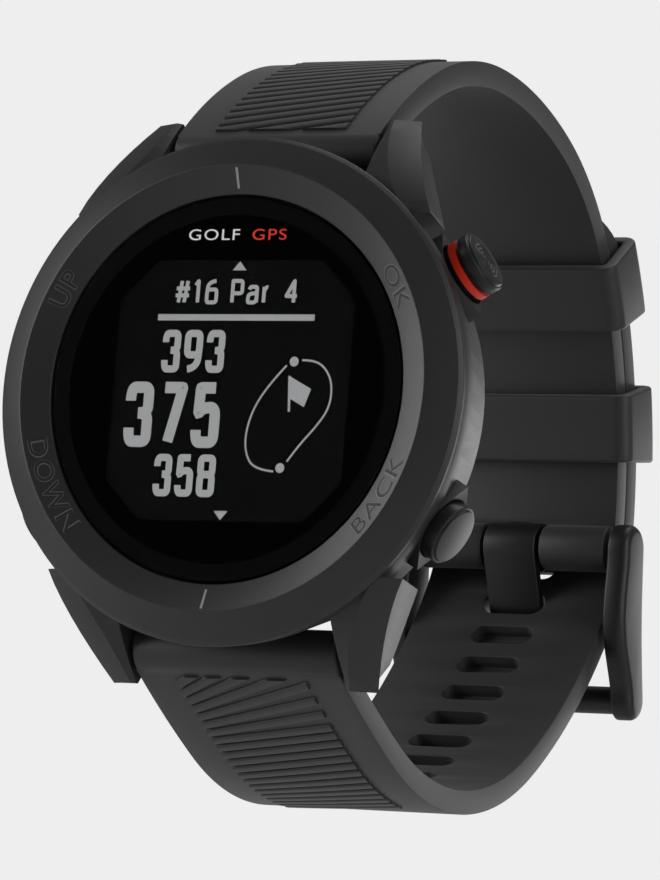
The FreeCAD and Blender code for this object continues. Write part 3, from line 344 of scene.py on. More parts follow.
# %% [markdown]
# ## Moulded edges
# A moulding tool never leaves a knife edge, and the thin bright lines along the lugs and buttons are what
# make them read as real parts. A merged copy of each CAD mesh gets a narrow rounded edge with a Bevel
# modifier that is applied at once.


# %% Soft edges from a CAD node
EDGE_ANGLE = 28


def softened(node, width_mm, material, body):
    """A copy of a CAD node with its sharp edges rounded, which stands for that node."""
    bm = bmesh.new()
    bm.from_mesh(nodes[node].data)
    bmesh.ops.remove_doubles(bm, verts=bm.verts, dist=0.002 * MM)
    bmesh.ops.dissolve_limit(bm, angle_limit=math.radians(0.6), verts=bm.verts, edges=bm.edges)
    mesh = bpy.data.meshes.new(node + "_soft")
    bm.to_mesh(mesh)
    bm.free()

    def add_bevel(item):
        bevel = item.modifiers.new("edge", "BEVEL")
        bevel.width = width_mm * MM
        bevel.segments = 3
        bevel.limit_method = "ANGLE"
        bevel.angle_limit = math.radians(EDGE_ANGLE)
        bevel.use_clamp_overlap = True

    result = mesh_of(mesh, add_bevel)
    piece = new_piece(node + "_moulding", result, material, body, 50)
    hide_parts(node)
    print(node, "faces", len(result.polygons))


for node, width, material, body in (
        ("case_body", 0.16, case_polymer, "watch"), ("back_cover", 0.08, case_polymer, "watch"),
        ("ok_button", 0.12, button_coat, "ok_push"), ("up_button", 0.12, button_coat, "up_push"),
        ("down_button", 0.12, button_coat, "down_push"), ("back_button", 0.12, button_coat, "back_push"),
        ("upper_keeper", 0.30, silicone, "upper_keeper_loop"),
        ("lower_keeper", 0.30, silicone, "lower_keeper_loop"),
        ("buckle_tang", 0.15, buckle_coat, "tang")):
    softened(node, width, material, body)

# %% [markdown]
# ## Bezel
# The bezel is a turned shape: a small bevelled rim, a flank that rises to the crest, and a dish that
# falls to the glass. Spinning one profile round the watch's axis gives it exactly, with small arcs
# at its outer and front edges so that these edges catch the light; the inner edges behind the dish stay sharp.

# %% Bezel by spin
BEZEL_STEPS = 160
CORNER_STEPS = 4
BEZEL_LOW, BEZEL_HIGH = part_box("bezel")
BEZEL_RADIUS = BEZEL_HIGH.x / MM
BEZEL_FRONT = -BEZEL_LOW.y / MM
GLASS_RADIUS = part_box("lens")[1].x / MM
GLASS_FRONT = -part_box("lens")[0].y / MM
CREST_RADIUS = 19.1
DISH_RADIUS = GLASS_RADIUS + 0.15
DISH_DEPTH = 10.45


def turned(profile):
    """A ring made by spinning a closed profile of (radius, depth) in millimetres about the Y axis."""
    bm = bmesh.new()
    verts = [bm.verts.new((0, -depth * MM, radius * MM)) for radius, depth in profile]
    edges = [bm.edges.new((verts[place], verts[(place + 1) % len(verts)])) for place in range(len(verts))]
    bmesh.ops.spin(bm, geom=verts + edges, cent=(0, 0, 0), axis=(0, 1, 0), angle=2 * math.pi,
                   steps=BEZEL_STEPS, use_merge=True)
    bmesh.ops.remove_doubles(bm, verts=bm.verts, dist=0.001 * MM)
    bmesh.ops.recalc_face_normals(bm, faces=bm.faces)
    return bm


def rounded(profile, radii):
    """The profile with chosen corners rounded: radii gives one radius for each corner."""
    points = []
    count = len(profile)
    for place, radius in enumerate(radii):
        here = Vector(profile[place])
        if radius == 0:
            points.append(tuple(here))
            continue
        back = (Vector(profile[place - 1]) - here).normalized()
        ahead = (Vector(profile[(place + 1) % count]) - here).normalized()
        half = back.angle(ahead) / 2
        reach = radius / math.tan(half)
        first, last = here + back * reach, here + ahead * reach
        for step in range(CORNER_STEPS + 1):
            share = step / CORNER_STEPS
            points.append(tuple((first * (1 - share) + here * share) * (1 - share)
                                + (here * (1 - share) + last * share) * share))
    return points


RIM_EDGE = 0.35
LEDGE_RADIUS, LEDGE_DEPTH = DISH_RADIUS - 0.8, 9.1
SKIRT_RADIUS, SKIRT_DEPTH = 17.1, 8.4
SEAT_RADIUS, SEAT_DEPTH = 21.35, 9.02
BEZEL_PROFILE = [(SEAT_RADIUS, SEAT_DEPTH), (BEZEL_RADIUS, 9.25), (BEZEL_RADIUS, 9.65),
                 (BEZEL_RADIUS - RIM_EDGE, 10.0), (CREST_RADIUS, BEZEL_FRONT), (DISH_RADIUS, DISH_DEPTH),
                 (DISH_RADIUS, LEDGE_DEPTH), (LEDGE_RADIUS, LEDGE_DEPTH), (LEDGE_RADIUS, SKIRT_DEPTH),
                 (SKIRT_RADIUS, SKIRT_DEPTH), (SKIRT_RADIUS, SEAT_DEPTH)]
BEZEL_ROUNDS = [0.05, 0.1, 0.12, 0.15, 0.22, 0.10, 0, 0, 0, 0, 0]
bezel = new_piece("bezel_ring", turned(rounded(BEZEL_PROFILE, BEZEL_ROUNDS)), bezel_polymer, "watch",
                  30)
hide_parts("bezel")
GLASS_BACK = GLASS_FRONT - 1.1
GLASS_EDGE = 0.2
AXIS_GAP = 0.02
GLASS_PROFILE = [(AXIS_GAP, GLASS_BACK), (GLASS_RADIUS, GLASS_BACK), (GLASS_RADIUS, GLASS_FRONT - GLASS_EDGE),
                 (GLASS_RADIUS - GLASS_EDGE, GLASS_FRONT), (AXIS_GAP, GLASS_FRONT)]
pane = new_piece("cover_glass_pane", turned(rounded(GLASS_PROFILE, [0, 0.05, 0.05, 0.08, 0])), glass, "watch",
                 25)
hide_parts("lens")
BORDER_FRONT, BORDER_BACK = GLASS_FRONT - 0.06, GLASS_FRONT - 0.08
BORDER_INNER, BORDER_OUTER = GLASS_RADIUS - 1.6, GLASS_RADIUS - 0.12
border = turned([(BORDER_INNER, BORDER_FRONT), (BORDER_OUTER, BORDER_FRONT), (BORDER_OUTER, BORDER_BACK),
                 (BORDER_INNER, BORDER_BACK)])
new_piece("glass_border_print", border, ink, "watch")
print("bezel faces:", len(bezel.data.polygons))

# %% [markdown]
# ## Letters and marks
# The four button names lie on the dish as flat letters just above its face, as moulded letters look:
# a dark body whose tone is painted shade, as in a sunk letter, and a pale rim that is a painted
# highlight along the edges. Two index marks stand at 12 and 6. Letters start as a text curve, which
# becomes a mesh before it is bent.


# %% Letters
def letters(text, height_mm, weight, spacing):
    """Flat letters in the XY plane as a mesh centred on the origin, in millimetres."""
    curve = bpy.data.curves.new("letters", "FONT")
    curve.body = text
    curve.size = 1.0
    curve.offset = weight
    curve.space_character = spacing
    curve.align_x = "CENTER"
    bm = bmesh.new()
    bm.from_mesh(mesh_of(curve))
    heights = [vert.co.y for vert in bm.verts]
    widths = [vert.co.x for vert in bm.verts]
    middle = Vector((min(widths) + max(widths), min(heights) + max(heights), 0)) / 2
    scale = height_mm / (max(heights) - min(heights))
    for vert in bm.verts:
        vert.co = (vert.co - middle) * scale
    return bm


def dish_depth(radius):
    """The depth of the dish's face at a radius."""
    share = (radius - DISH_RADIUS) / (CREST_RADIUS - DISH_RADIUS)
    return DISH_DEPTH + (BEZEL_FRONT - DISH_DEPTH) * share


def on_dish(bm, angle, radius, lift, inward_top=False):
    """Bend flat letters round the dish, a little above its face; inward_top turns them over."""
    bmesh.ops.triangulate(bm, faces=bm.faces)
    for vert in bm.verts:
        side, up = vert.co.x, vert.co.y
        if inward_top:
            around, reach = angle + side / radius, radius - up
        else:
            around, reach = angle - side / radius, radius + up
        depth = dish_depth(reach) + lift
        vert.co = Vector((reach * math.cos(around), -depth, reach * math.sin(around))) * MM
    return bm


LABEL_RADIUS = 17.93
LABEL_HEIGHT = 1.5
LABEL_STRETCH = 1.22
LABEL_SPACING = 1.12
RIM_GROWTH = 0.09
LABELS = (("UP", 152, False), ("OK", 29, False), ("DOWN", 209, True), ("BACK", -30, True))
for word, angle, over in LABELS:
    # The rim is a slightly bolder copy of each word in the pale tone, a painted highlight along the letters'
    # edges; the floor lies just over it in the dark tone, painted shade as in a sunk letter.
    for part, weight, lift, finish in (("rim", 0.028, 0.006, painted_rim_highlight), ("floor", 0.0, 0.012, painted_shade_letter_tone)):
        height = LABEL_HEIGHT + (RIM_GROWTH if part == "rim" else 0)
        bm = letters(word, height, weight, LABEL_SPACING)
        bmesh.ops.scale(bm, verts=bm.verts, vec=(LABEL_STRETCH, 1, 1))
        on_dish(bm, math.radians(angle), LABEL_RADIUS, lift, over)
        new_piece(f"label_{word.lower()}_{part}", bm, finish, "watch")


TICK_WIDTH, TICK_LENGTH = 0.22, 1.7
TICK_RADIUS, TICK_LIFT = 18.0, 0.015


def tick(angle):
    """One index mark: a thin painted bar across the dish."""
    bm = bmesh.new()
    bmesh.ops.create_grid(bm, x_segments=1, y_segments=4, size=0.5)
    for vert in bm.verts:
        vert.co = Vector((vert.co.x * TICK_WIDTH, vert.co.y * TICK_LENGTH, 0))
    return on_dish(bm, angle, TICK_RADIUS, TICK_LIFT)


for number, angle in enumerate((90, 270)):
    new_piece(f"index_mark_{number}", tick(math.radians(angle)), tick_grey, "watch")
print("letters and marks made")

# %% [markdown]
# ## Display
# The display is dark with pale marks: a heading, three distances, a rule, two pointers, and the outline
# of a green with its flag. Everything is a thin flat mesh just in front of the panel.

# %% Display content
LIT_PLANE = -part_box("display_panel")[0].y / MM + 0.02


def on_display(bm, across, up):
    """Put flat millimetre shapes on the display's plane, facing the glass."""
    for vert in bm.verts:
        vert.co = Vector((across + vert.co.x, -LIT_PLANE, up + vert.co.y)) * MM
    return bm


# The display's digits are narrow and round-cornered, so each is drawn from a few strokes on a grid that
# is 1 wide and 2 high. A stroke is a run of points; a bend is a point that the line only turns towards.
STROKES = {
    "1": ["0.1,1.6 0.55,2 0.55,2 0.55,0"],
    "3": ["0,1.5 0,2 0.5,2 1,2 1,1.5 1,1.05 0.45,1.05", "0.45,1.05 1,1.05 1,0.5 1,0 0.5,0 0,0 0,0.5"],
    "4": ["0.78,0 0.78,2 0.78,2 0,0.6 0,0.6 1.1,0.6"],
    "5": ["0.95,2 0.12,2 0.12,2 0.08,1.05 0.08,1.05 0.3,1.25 1,1.3 1,0.6 1,0 0.5,0 0,0 0,0.45"],
    "6": ["0.9,2 0.1,1.9 0,0.9 0,0.6 0,0 0.5,0 1,0 1,0.6 1,1.2 0.5,1.2 0,1.2 0,0.7"],
    "7": ["0,2 1,2 1,2 0.35,0"],
    "8": ["0.5,1.07 0,1.07 0,1.5 0,2 0.5,2 1,2 1,1.5 1,1.07 0.5,1.07",
          "0.5,1.07 0,1.07 0,0.5 0,0 0.5,0 1,0 1,0.5 1,1.07 0.5,1.07"],
    "9": ["0.1,0 0.9,0.1 1,1.1 1,1.4 1,2 0.5,2 0,2 0,1.4 0,0.8 0.5,0.8 1,0.8 1,1.3"],
    "#": ["0.25,0 0.45,2", "0.7,0 0.9,2", "0.05,1.3 1.1,1.3", "0,0.65 1.05,0.65"],
    "P": ["0,0 0,2 0,2 0.5,2 1,2 1,1.45 1,0.85 0.5,0.85 0,0.85"],
    "a": ["0.1,1.2 0.2,1.45 0.5,1.45 0.9,1.45 0.9,1 0.9,0",
          "0.9,0.85 0.1,0.85 0,0.4 0,0 0.4,0 0.8,0 0.9,0.4"],
    "r": ["0,0 0,1.45", "0,0.9 0.1,1.45 0.6,1.4"]}
LETTER_WIDTHS = {" ": 0.55, "1": 0.75, "#": 1.25, "r": 0.75}
LETTER_GAP = 0.2


def flat_line(points, width, bends):
    """A smooth line through (x, y) points in millimetres, as a mesh; bends is the curve's resolution."""
    curve = bpy.data.curves.new("line", "CURVE")
    curve.dimensions = "3D"
    curve.bevel_depth = width / 2
    curve.bevel_resolution = 1
    curve.resolution_u = bends
    spline = curve.splines.new("NURBS")
    spline.points.add(len(points) - 1)
    for point, (x, y) in zip(spline.points, points):
        point.co = (x, y, 0, 1)
    spline.order_u = min(3, len(points))
    spline.use_endpoint_u = True
    return mesh_of(curve)


def stroke_letter(letter, left, low, width, height, weight):
    """One letter's strokes as flat ribbons; the grid fills the given rectangle."""
    meshes = []
    for run in STROKES[letter]:
        knots = [[float(value) for value in pair.split(",")] for pair in run.split()]
        meshes.append(flat_line([(left + weight / 2 + across * (width - weight),
                                  low + weight / 2 + up / 2 * (height - weight)) for across, up in knots],
                                weight, 8))
    return meshes


def flattened(meshes):
    """Several meshes joined into one and pressed flat."""
    bm = bmesh.new()
    for mesh in meshes:
        bm.from_mesh(mesh)
    for vert in bm.verts:
        vert.co.z = 0
    return bm


def fitted(text, left, right, low, high, weight):
    """A line of stroke letters that fills a rectangle of the display."""
    widths = [LETTER_WIDTHS.get(letter, 1) for letter in text]
    unit = (right - left) / (sum(widths) + LETTER_GAP * (len(text) - 1))
    meshes, place = [], left
    for letter, width in zip(text, widths):
        if letter != " ":
            meshes += stroke_letter(letter, place, low, width * unit, high - low, weight)
        place += (width + LETTER_GAP) * unit
    return on_display(flattened(meshes), 0, 0)


def flat_shape(corners):
    """One flat face from corners in millimetres."""
    bm = bmesh.new()
    bm.faces.new([bm.verts.new((x, y, 0)) for x, y in corners])
    return bm


for name, text, left, right, low, high, weight in (
        ("heading", "#16 Par 4", -6.1, 5.7, 7.4, 9.6, 0.34),
        ("far_distance", "393", -6.8, -0.8, 1.5, 5.2, 0.62),
        ("middle_distance", "375", -9.9, -0.75, -4.95, 0.7, 0.98),
        ("near_distance", "358", -6.65, -0.75, -9.15, -5.5, 0.62)):
    new_piece("display_" + name, fitted(text, left, right, low, high, weight), lit_grey, "watch")
for name, corners, across, up in (
        ("rule", [(-7.45, -0.27), (7.45, -0.27), (7.45, 0.27), (-7.45, 0.27)], 0, 6.28),
        ("up_pointer", [(-0.66, -0.38), (0.66, -0.38), (0, 0.4)], 0, 10.72),
        ("down_pointer", [(0.66, 0.38), (-0.66, 0.38), (0, -0.4)], 0.05, -10.68),
        ("flag", [(0, 0), (2.15, -1.1), (1.6, -2.65), (0.25, -1.95)], 5.5, 1.3),
        ("pole", [(0, 0), (0.22, 0), (0.42, -3.05), (0.2, -3.05)], 5.42, 1.3)):
    new_piece("display_" + name, on_display(flat_shape(corners), across, up), lit_grey, "watch")
DOT_RADIUS = 0.42
for number, (across, up) in enumerate(((5.86, 2.52), (5.30, -6.55))):
    bm = bmesh.new()
    bmesh.ops.create_circle(bm, cap_ends=True, segments=24, radius=DOT_RADIUS)
    new_piece(f"display_dot_{number}", on_display(bm, across, up), lit_grey, "watch")
RIGHT_EDGE = [(6.6, 2.65), (7.8, 2.65), (8.9, 1.95), (9.6, 0.6), (9.5, -1.4), (8.3, -3.1), (6.9, -4.6),
              (5.9, -6.0)]
GREEN_LINE = 0.17
LEFT_EDGE = [(5.2, 2.2), (3.8, 0.7), (2.4, -1.4), (1.8, -3.6), (1.95, -5.4), (2.9, -6.7), (4.7, -6.85)]
for name, points in (("right", RIGHT_EDGE), ("left", LEFT_EDGE)):
    bm = flattened([flat_line(points, GREEN_LINE, 12)])
    bmesh.ops.dissolve_degenerate(bm, dist=0.0001, edges=bm.edges)
    new_piece("display_green_" + name, on_display(bm, 0, 0), lit_grey, "watch")
TITLE_DEPTH, TITLE_UP = GLASS_FRONT - 0.04, 13.25
TITLE_HEIGHT, TITLE_WEIGHT, TITLE_SPACING, TITLE_STRETCH = 0.95, 0.004, 1.15, 1.35
for name, text, across, finish in (("first", "GOLF", -2.15, title_white), ("second", "GPS", 3.1, title_red)):
    bm = letters(text, TITLE_HEIGHT, TITLE_WEIGHT, TITLE_SPACING)
    for vert in bm.verts:
        vert.co = Vector((across + TITLE_STRETCH * vert.co.x, -TITLE_DEPTH, TITLE_UP + vert.co.y)) * MM
    new_piece("title_" + name, bm, finish, "watch")
print("display made")

# %% [markdown]
# ## Strap
# Each silicone half is modelled flat, as it would come out of its mould, and is then wrapped on to the
# loop it holds when worn. Flat, its holes and ribs are simple; the wrap moves every vertex from (across,
# along, outwards) to the loop. The loop is the same run of tangent arcs that the CAD model uses.

# %% Loop of the strap
LUG_BAR = Vector((-2.7, 21.6))
STRAP_THICKNESS = 2.2
STRAP_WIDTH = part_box("upper_strap")[1].x / MM * 2
EYE_RADIUS = 2.15
BACK_CENTRE = Vector((12.8, -2.8))
FOLD_RADIUS = 41.7
FOLD_GAP = 0.25


def heading_vector(degrees):
    """A unit vector from an angle in degrees."""
    return Vector((math.cos(math.radians(degrees)), math.sin(math.radians(degrees))))


def arc_between(start, way, end):
    """One arc that leaves start along a direction and reaches end: (centre, radius, angle, sweep, side)."""
    normal = Vector((-way.y, way.x))
    gap = end - start
    bend = 2 * gap.dot(normal) / gap.dot(gap)
    centre = start + normal / bend
    first = math.atan2(start.y - centre.y, start.x - centre.x)
    last = math.atan2(end.y - centre.y, end.x - centre.x)
    sweep = (last - first) % (2 * math.pi)
    if bend < 0:
        sweep -= 2 * math.pi
    return centre, abs(1 / bend), first, sweep, (1 if bend < 0 else -1)


def joined_arcs(start, heading, end, end_heading):
    """Two tangent arcs between two points with given headings."""
    first, last = heading_vector(heading), heading_vector(end_heading)
    gap, both = end - start, first + last
    spread = 2 * (1 - first.dot(last))
    along = gap.dot(both)
    reach = (math.sqrt(along ** 2 + spread * gap.dot(gap)) - along) / spread
    turn_start, turn_end = start + first * reach, end - last * reach
    middle = (turn_start + turn_end) / 2
    way = (turn_end - turn_start).normalized()
    return [arc_between(start, first, middle), arc_between(middle, way, end)]


def lug_start(heading):
    """Where a strap's middle line starts, so that its outer face is tangent to the eye."""
    outwards = EYE_RADIUS - STRAP_THICKNESS / 2
    return LUG_BAR + Vector((-heading_vector(heading).y, heading_vector(heading).x)) * outwards


def upper_loop():
    """The middle line of the buckle half, from the 12 o'clock lug over the top to the buckle."""
    crown = Vector((20.1, 33.05))
    join = 33.4
    last = math.degrees(math.asin((2.8 - 5.1) / FOLD_RADIUS))
    return (joined_arcs(lug_start(45), 45, crown, 0)
            + joined_arcs(crown, 0, BACK_CENTRE + heading_vector(join) * FOLD_RADIUS, join - 90)
            + [(BACK_CENTRE, FOLD_RADIUS, math.radians(join), math.radians(last - join), 1)])


def lower_loop():
    """The middle line of the holed half, turned over so that it starts upwards like the other."""
    centre = Vector((BACK_CENTRE.x, -BACK_CENTRE.y))
    radius = FOLD_RADIUS + STRAP_THICKNESS + FOLD_GAP
    belly, elbow = Vector((21.1, 31.8)), Vector((51.15, 15.1))
    return (joined_arcs(lug_start(32), 32, belly, 0) + joined_arcs(belly, 0, elbow, -50.8)
            + joined_arcs(elbow, -50.8, centre + Vector((radius, 0)), -90)
            + [(centre, radius, 0, math.radians(-42), 1)])


def loop_length(loop):
    """The length of a run of arcs."""
    return sum(abs(arc[1] * arc[3]) for arc in loop)


def on_loop(loop, along, outwards):
    """The loop's point at a distance along it and a distance outwards, as (behind, up)."""
    for arc in loop:
        length = abs(arc[1] * arc[3])
        if along <= length or arc is loop[-1]:
            centre, radius, first, sweep, side = arc
            angle = first + sweep * along / length
            return centre + Vector((math.cos(angle), math.sin(angle))) * (radius + outwards * side)
        along -= length


def wrap(bm, loop, way):
    """Bend a flat piece on to the loop: x stays across, y runs along it, z stands outwards."""
    for vert in bm.verts:
        spot = on_loop(loop, max(vert.co.y, 0.0), vert.co.z)
        vert.co = Vector((vert.co.x, spot.x, way * spot.y)) * MM
    bmesh.ops.recalc_face_normals(bm, faces=bm.faces)
    return bm


UPPER_LOOP, LOWER_LOOP = upper_loop(), lower_loop()
UPPER_LENGTH, LOWER_LENGTH = loop_length(UPPER_LOOP), loop_length(LOWER_LOOP)
TANG_AT = 67.03
HOLE_PITCH = 4.25
print("strap halves:", round(UPPER_LENGTH, 1), round(LOWER_LENGTH, 1))


# %% Flat strap halves
def block(size, place=(0, 0, 0)):
    """A box in millimetres, centred on a place."""
    bm = bmesh.new()
    bmesh.ops.create_cube(bm, size=1)
    bmesh.ops.scale(bm, verts=bm.verts, vec=size)
    bmesh.ops.translate(bm, verts=bm.verts, vec=place)
    return bm


def round_edges(bm, edges, radius, segments):
    """Round some edges of a piece."""
    bmesh.ops.bevel(bm, geom=edges, offset=radius, segments=segments, profile=0.5, affect="EDGES",
                    material=-1)


def as_mesh(bm, name):
    """Turn a finished bmesh into a mesh."""
    mesh = bpy.data.meshes.new(name)
    bm.to_mesh(mesh)
    bm.free()
    return mesh


def span(edge, axis):
    """How far an edge reaches along one axis."""
    return abs(edge.verts[0].co[axis] - edge.verts[1].co[axis])


def slab(length, tip_round):
    """A flat strip in millimetres with round corners at its far end."""
    bm = block((STRAP_WIDTH, length, STRAP_THICKNESS), (0, length / 2, 0))
    if tip_round:
        far = [edge for edge in bm.edges if all(vert.co.y > length - TINY for vert in edge.verts)
               and span(edge, 0) < TINY < span(edge, 2)]
        round_edges(bm, far, tip_round, 12)
    return bm


def long_hole(along, length, height, top=2 * STRAP_THICKNESS):
    """A round-ended cutter across the strap, from below its inner face up to a height."""
    floor = -2 * STRAP_THICKNESS
    bm = block((length, height, top - floor), (0, 0, (top + floor) / 2))
    round_edges(bm, [edge for edge in bm.edges if span(edge, 2) > TINY], height / 2 - 0.02, 8)
    bmesh.ops.translate(bm, verts=bm.verts, vec=(0, along, 0))
    return bm


def cut_holes(strip, cutters):
    """Take the cutters out of a flat strip."""
    tools = [bpy.data.objects.new("cutter", as_mesh(cutter, "cutter")) for cutter in cutters]
    for tool in tools:
        bpy.context.scene.collection.objects.link(tool)

    def add_cuts(item):
        for tool in tools:
            change = item.modifiers.new("hole", "BOOLEAN")
            change.operation = "DIFFERENCE"
            change.solver = "EXACT"
            change.object = tool

    result = mesh_of(as_mesh(strip, "strip"), add_cuts)
    for tool in tools:
        bpy.data.objects.remove(tool)
    bm = bmesh.new()
    bm.from_mesh(result)
    bmesh.ops.remove_doubles(bm, verts=bm.verts, dist=0.001)
    return bm


def slice_at(bm, point, normal, **options):
    """Cut every face that a plane crosses."""
    return bmesh.ops.bisect_plane(bm, geom=bm.verts[:] + bm.edges[:] + bm.faces[:], dist=0.0001,
                                  plane_co=point, plane_no=normal, **options)


def soft_strip(bm, length):
    """Round a flat strip's sharp edges, all but those at the lug, then divide it so that it can bend."""
    bmesh.ops.dissolve_limit(bm, angle_limit=math.radians(1), verts=bm.verts, edges=bm.edges)
    sharp = [edge for edge in bm.edges if len(edge.link_faces) == 2
             and edge.calc_face_angle() > math.radians(50)
             and max(vert.co.y for vert in edge.verts) > TINY]
    bmesh.ops.bevel(bm, geom=sharp, offset=STRAP_EDGE, segments=3, profile=0.5, affect="EDGES", material=-1,
                    clamp_overlap=True)
    for number in range(1, int(length / STEP)):
        slice_at(bm, (0, number * STEP, 0), (0, 1, 0))
    return bm


def barrel(radius, place, name, notch=0.0):
    """A round barrel across the strap at (behind, up), with soft ends, whole or with a notch."""
    half = STRAP_WIDTH / 2
    whole = bmesh.new()
    for low, high in ([(-half, -notch), (notch, half)] if notch else [(-half, half)]):
        bm = bmesh.new()
        bmesh.ops.create_cone(bm, cap_ends=True, segments=48, radius1=radius, radius2=radius,
                              depth=high - low)
        rims = [edge for edge in bm.edges if len(edge.link_faces) == 2
                and edge.calc_face_angle() > math.radians(60)]
        round_edges(bm, rims, 0.3, 3)
        bmesh.ops.rotate(bm, verts=bm.verts, cent=(0, 0, 0), matrix=ACROSS)
        bmesh.ops.translate(bm, verts=bm.verts, vec=((low + high) / 2, place[0], place[1]))
        bmesh.ops.scale(bm, verts=bm.verts, vec=(MM, MM, MM))
        whole.from_mesh(as_mesh(bm, "part"))
    new_piece(name, whole, silicone, "watch")


TINY = 0.1
STEP = 0.9
STRAP_EDGE = 0.38
TIP_ROUND = 6.0
ACROSS = Matrix.Rotation(math.pi / 2, 3, "Y")
HOLE_LENGTH, HOLE_HEIGHT, POCKET_TOP = 6.3, 2.3, 0.35
SLOT_LENGTH, SLOT_HEIGHT = 5.0, 0.9
TANG_SLOT_HEIGHT = 2.8
NOTCH_LENGTH, NOTCH_HEIGHT = 5.8, 5.0
BUCKLE_EYE_RADIUS, BUCKLE_EYE_NOTCH = 2.2, 3.0
upper = cut_holes(slab(UPPER_LENGTH, 0), [long_hole(UPPER_LENGTH, NOTCH_LENGTH, NOTCH_HEIGHT)])
upper_piece = new_piece("upper_strap_silicone", wrap(soft_strip(upper, UPPER_LENGTH), UPPER_LOOP, 1),
                        silicone, "watch", 40)
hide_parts("upper_strap")
SPOTS = [TANG_AT + number * HOLE_PITCH for number in range(-7, 4) if number]
holes = [long_hole(spot, HOLE_LENGTH, HOLE_HEIGHT, POCKET_TOP) for spot in SPOTS]
holes += [long_hole(spot, SLOT_LENGTH, SLOT_HEIGHT) for spot in SPOTS]
holes.append(long_hole(TANG_AT, HOLE_LENGTH, TANG_SLOT_HEIGHT))
lower = cut_holes(slab(LOWER_LENGTH, TIP_ROUND), holes)
lower_piece = new_piece("lower_strap_silicone", wrap(soft_strip(lower, LOWER_LENGTH), LOWER_LOOP, -1),
                        silicone, "watch", 40)
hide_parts("lower_strap")
BUCKLE_PLACE = [joint["pos_m"] for joint in frame["joints"] if joint["name"] == "buckle_swing"][0]
BUCKLE_PLACE = (BUCKLE_PLACE[1] / MM, BUCKLE_PLACE[2] / MM)
barrel(EYE_RADIUS, (LUG_BAR.x, LUG_BAR.y), "upper_strap_eye")
barrel(EYE_RADIUS, (LUG_BAR.x, -LUG_BAR.y), "lower_strap_eye")
barrel(BUCKLE_EYE_RADIUS, BUCKLE_PLACE, "buckle_strap_eye", BUCKLE_EYE_NOTCH)
print("strap faces:", len(upper_piece.data.polygons), len(lower_piece.data.polygons))

# %% [markdown]
# The buckle's frame is a casting: two leaf-shaped arms with full round edges and a round crossbar. An
# arm's outline is swept from the bar to the crossbar, wide in the middle, and it bellies towards the wrist.

# %% Buckle frame
FRAME_LENGTH = 14.4
FRAME_LEAN = math.radians(11.5)
ARM_INNER, ARM_OUTER = 10.2, 12.35
FRAME_WAY = Vector((math.sin(FRAME_LEAN), -math.cos(FRAME_LEAN)))
FRAME_SIDE = Vector((-math.cos(FRAME_LEAN), -math.sin(FRAME_LEAN)))
ARM_STEPS, END_STEPS = 26, 12
HEAD_RADIUS, END_RADIUS = 2.35, 1.85
BELLY, WAIST = 1.5, 0.35
CROSSBAR_RADIUS, CROSSBAR_SINK = 1.3, 0.4


def arm_outline():
    """The arm's outline in (behind, up): down the side by the wrist, round the end, up the outer side."""
    def spot(along, beside):
        return Vector(BUCKLE_PLACE) + FRAME_WAY * along + FRAME_SIDE * beside

    shares = [step / ARM_STEPS for step in range(ARM_STEPS + 1)]
    turns = [math.pi * step / END_STEPS for step in range(1, END_STEPS)]
    half = {share: HEAD_RADIUS + (END_RADIUS - HEAD_RADIUS) * share for share in shares}
    points = []
    for share in shares:
        belly = math.sin(math.pi * min(share * 1.05, 1)) ** 1.5
        points.append(spot(share * FRAME_LENGTH, half[share] + BELLY * belly))
    for around in turns:
        points.append(spot(FRAME_LENGTH + END_RADIUS * math.sin(around), END_RADIUS * math.cos(around)))
    for share in reversed(shares):
        points.append(spot(share * FRAME_LENGTH, WAIST * math.sin(math.pi * share) - half[share]))
    for around in turns:
        points.append(spot(-HEAD_RADIUS * math.sin(around), -HEAD_RADIUS * math.cos(around)))
    return points


def buckle_arm(side):
    """One arm as a soft plate beside the strap."""
    bm = bmesh.new()
    face = bm.faces.new([bm.verts.new((side * ARM_INNER, spot.x, spot.y)) for spot in arm_outline()])
    grown = bmesh.ops.extrude_face_region(bm, geom=[face])
    moved = [item for item in grown["geom"] if isinstance(item, bmesh.types.BMVert)]
    bmesh.ops.translate(bm, verts=moved, vec=(side * (ARM_OUTER - ARM_INNER), 0, 0))
    bmesh.ops.recalc_face_normals(bm, faces=bm.faces)
    middle = (ARM_INNER + ARM_OUTER) / 2
    outer = [edge for edge in bm.edges if all(abs(vert.co.x) > middle for vert in edge.verts)]
    inner = [edge for edge in bm.edges if all(abs(vert.co.x) < middle for vert in edge.verts)]
    round_edges(bm, outer, 0.85, 5)
    round_edges(bm, [edge for edge in inner if edge.is_valid], 0.3, 3)
    bmesh.ops.scale(bm, verts=bm.verts, vec=(MM, MM, MM))
    return bm


def crossbar():
    """The round bar that joins the arms and carries the tang's tip."""
    end = Vector(BUCKLE_PLACE) + FRAME_WAY * FRAME_LENGTH
    bm = bmesh.new()
    bmesh.ops.create_cone(bm, cap_ends=True, segments=40, radius1=CROSSBAR_RADIUS, radius2=CROSSBAR_RADIUS,
                          depth=2 * (ARM_INNER + CROSSBAR_SINK))
    bmesh.ops.rotate(bm, verts=bm.verts, cent=(0, 0, 0), matrix=ACROSS)
    bmesh.ops.translate(bm, verts=bm.verts, vec=(0, end.x, end.y))
    bmesh.ops.scale(bm, verts=bm.verts, vec=(MM, MM, MM))
    return bm


for name, side in (("left", -1), ("right", 1)):
    new_piece("buckle_arm_" + name, buckle_arm(side), buckle_coat, "buckle", 40)
bar_piece = new_piece("buckle_crossbar", crossbar(), buckle_coat, "buckle", 40)
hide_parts("buckle_frame")
print("buckle frame made")

# %% [markdown]
# The ribs are long soft bars laid slantwise in the middle of each half near the lug. Each is built flat,
# trimmed to the band by three cuts, and wrapped with its half.

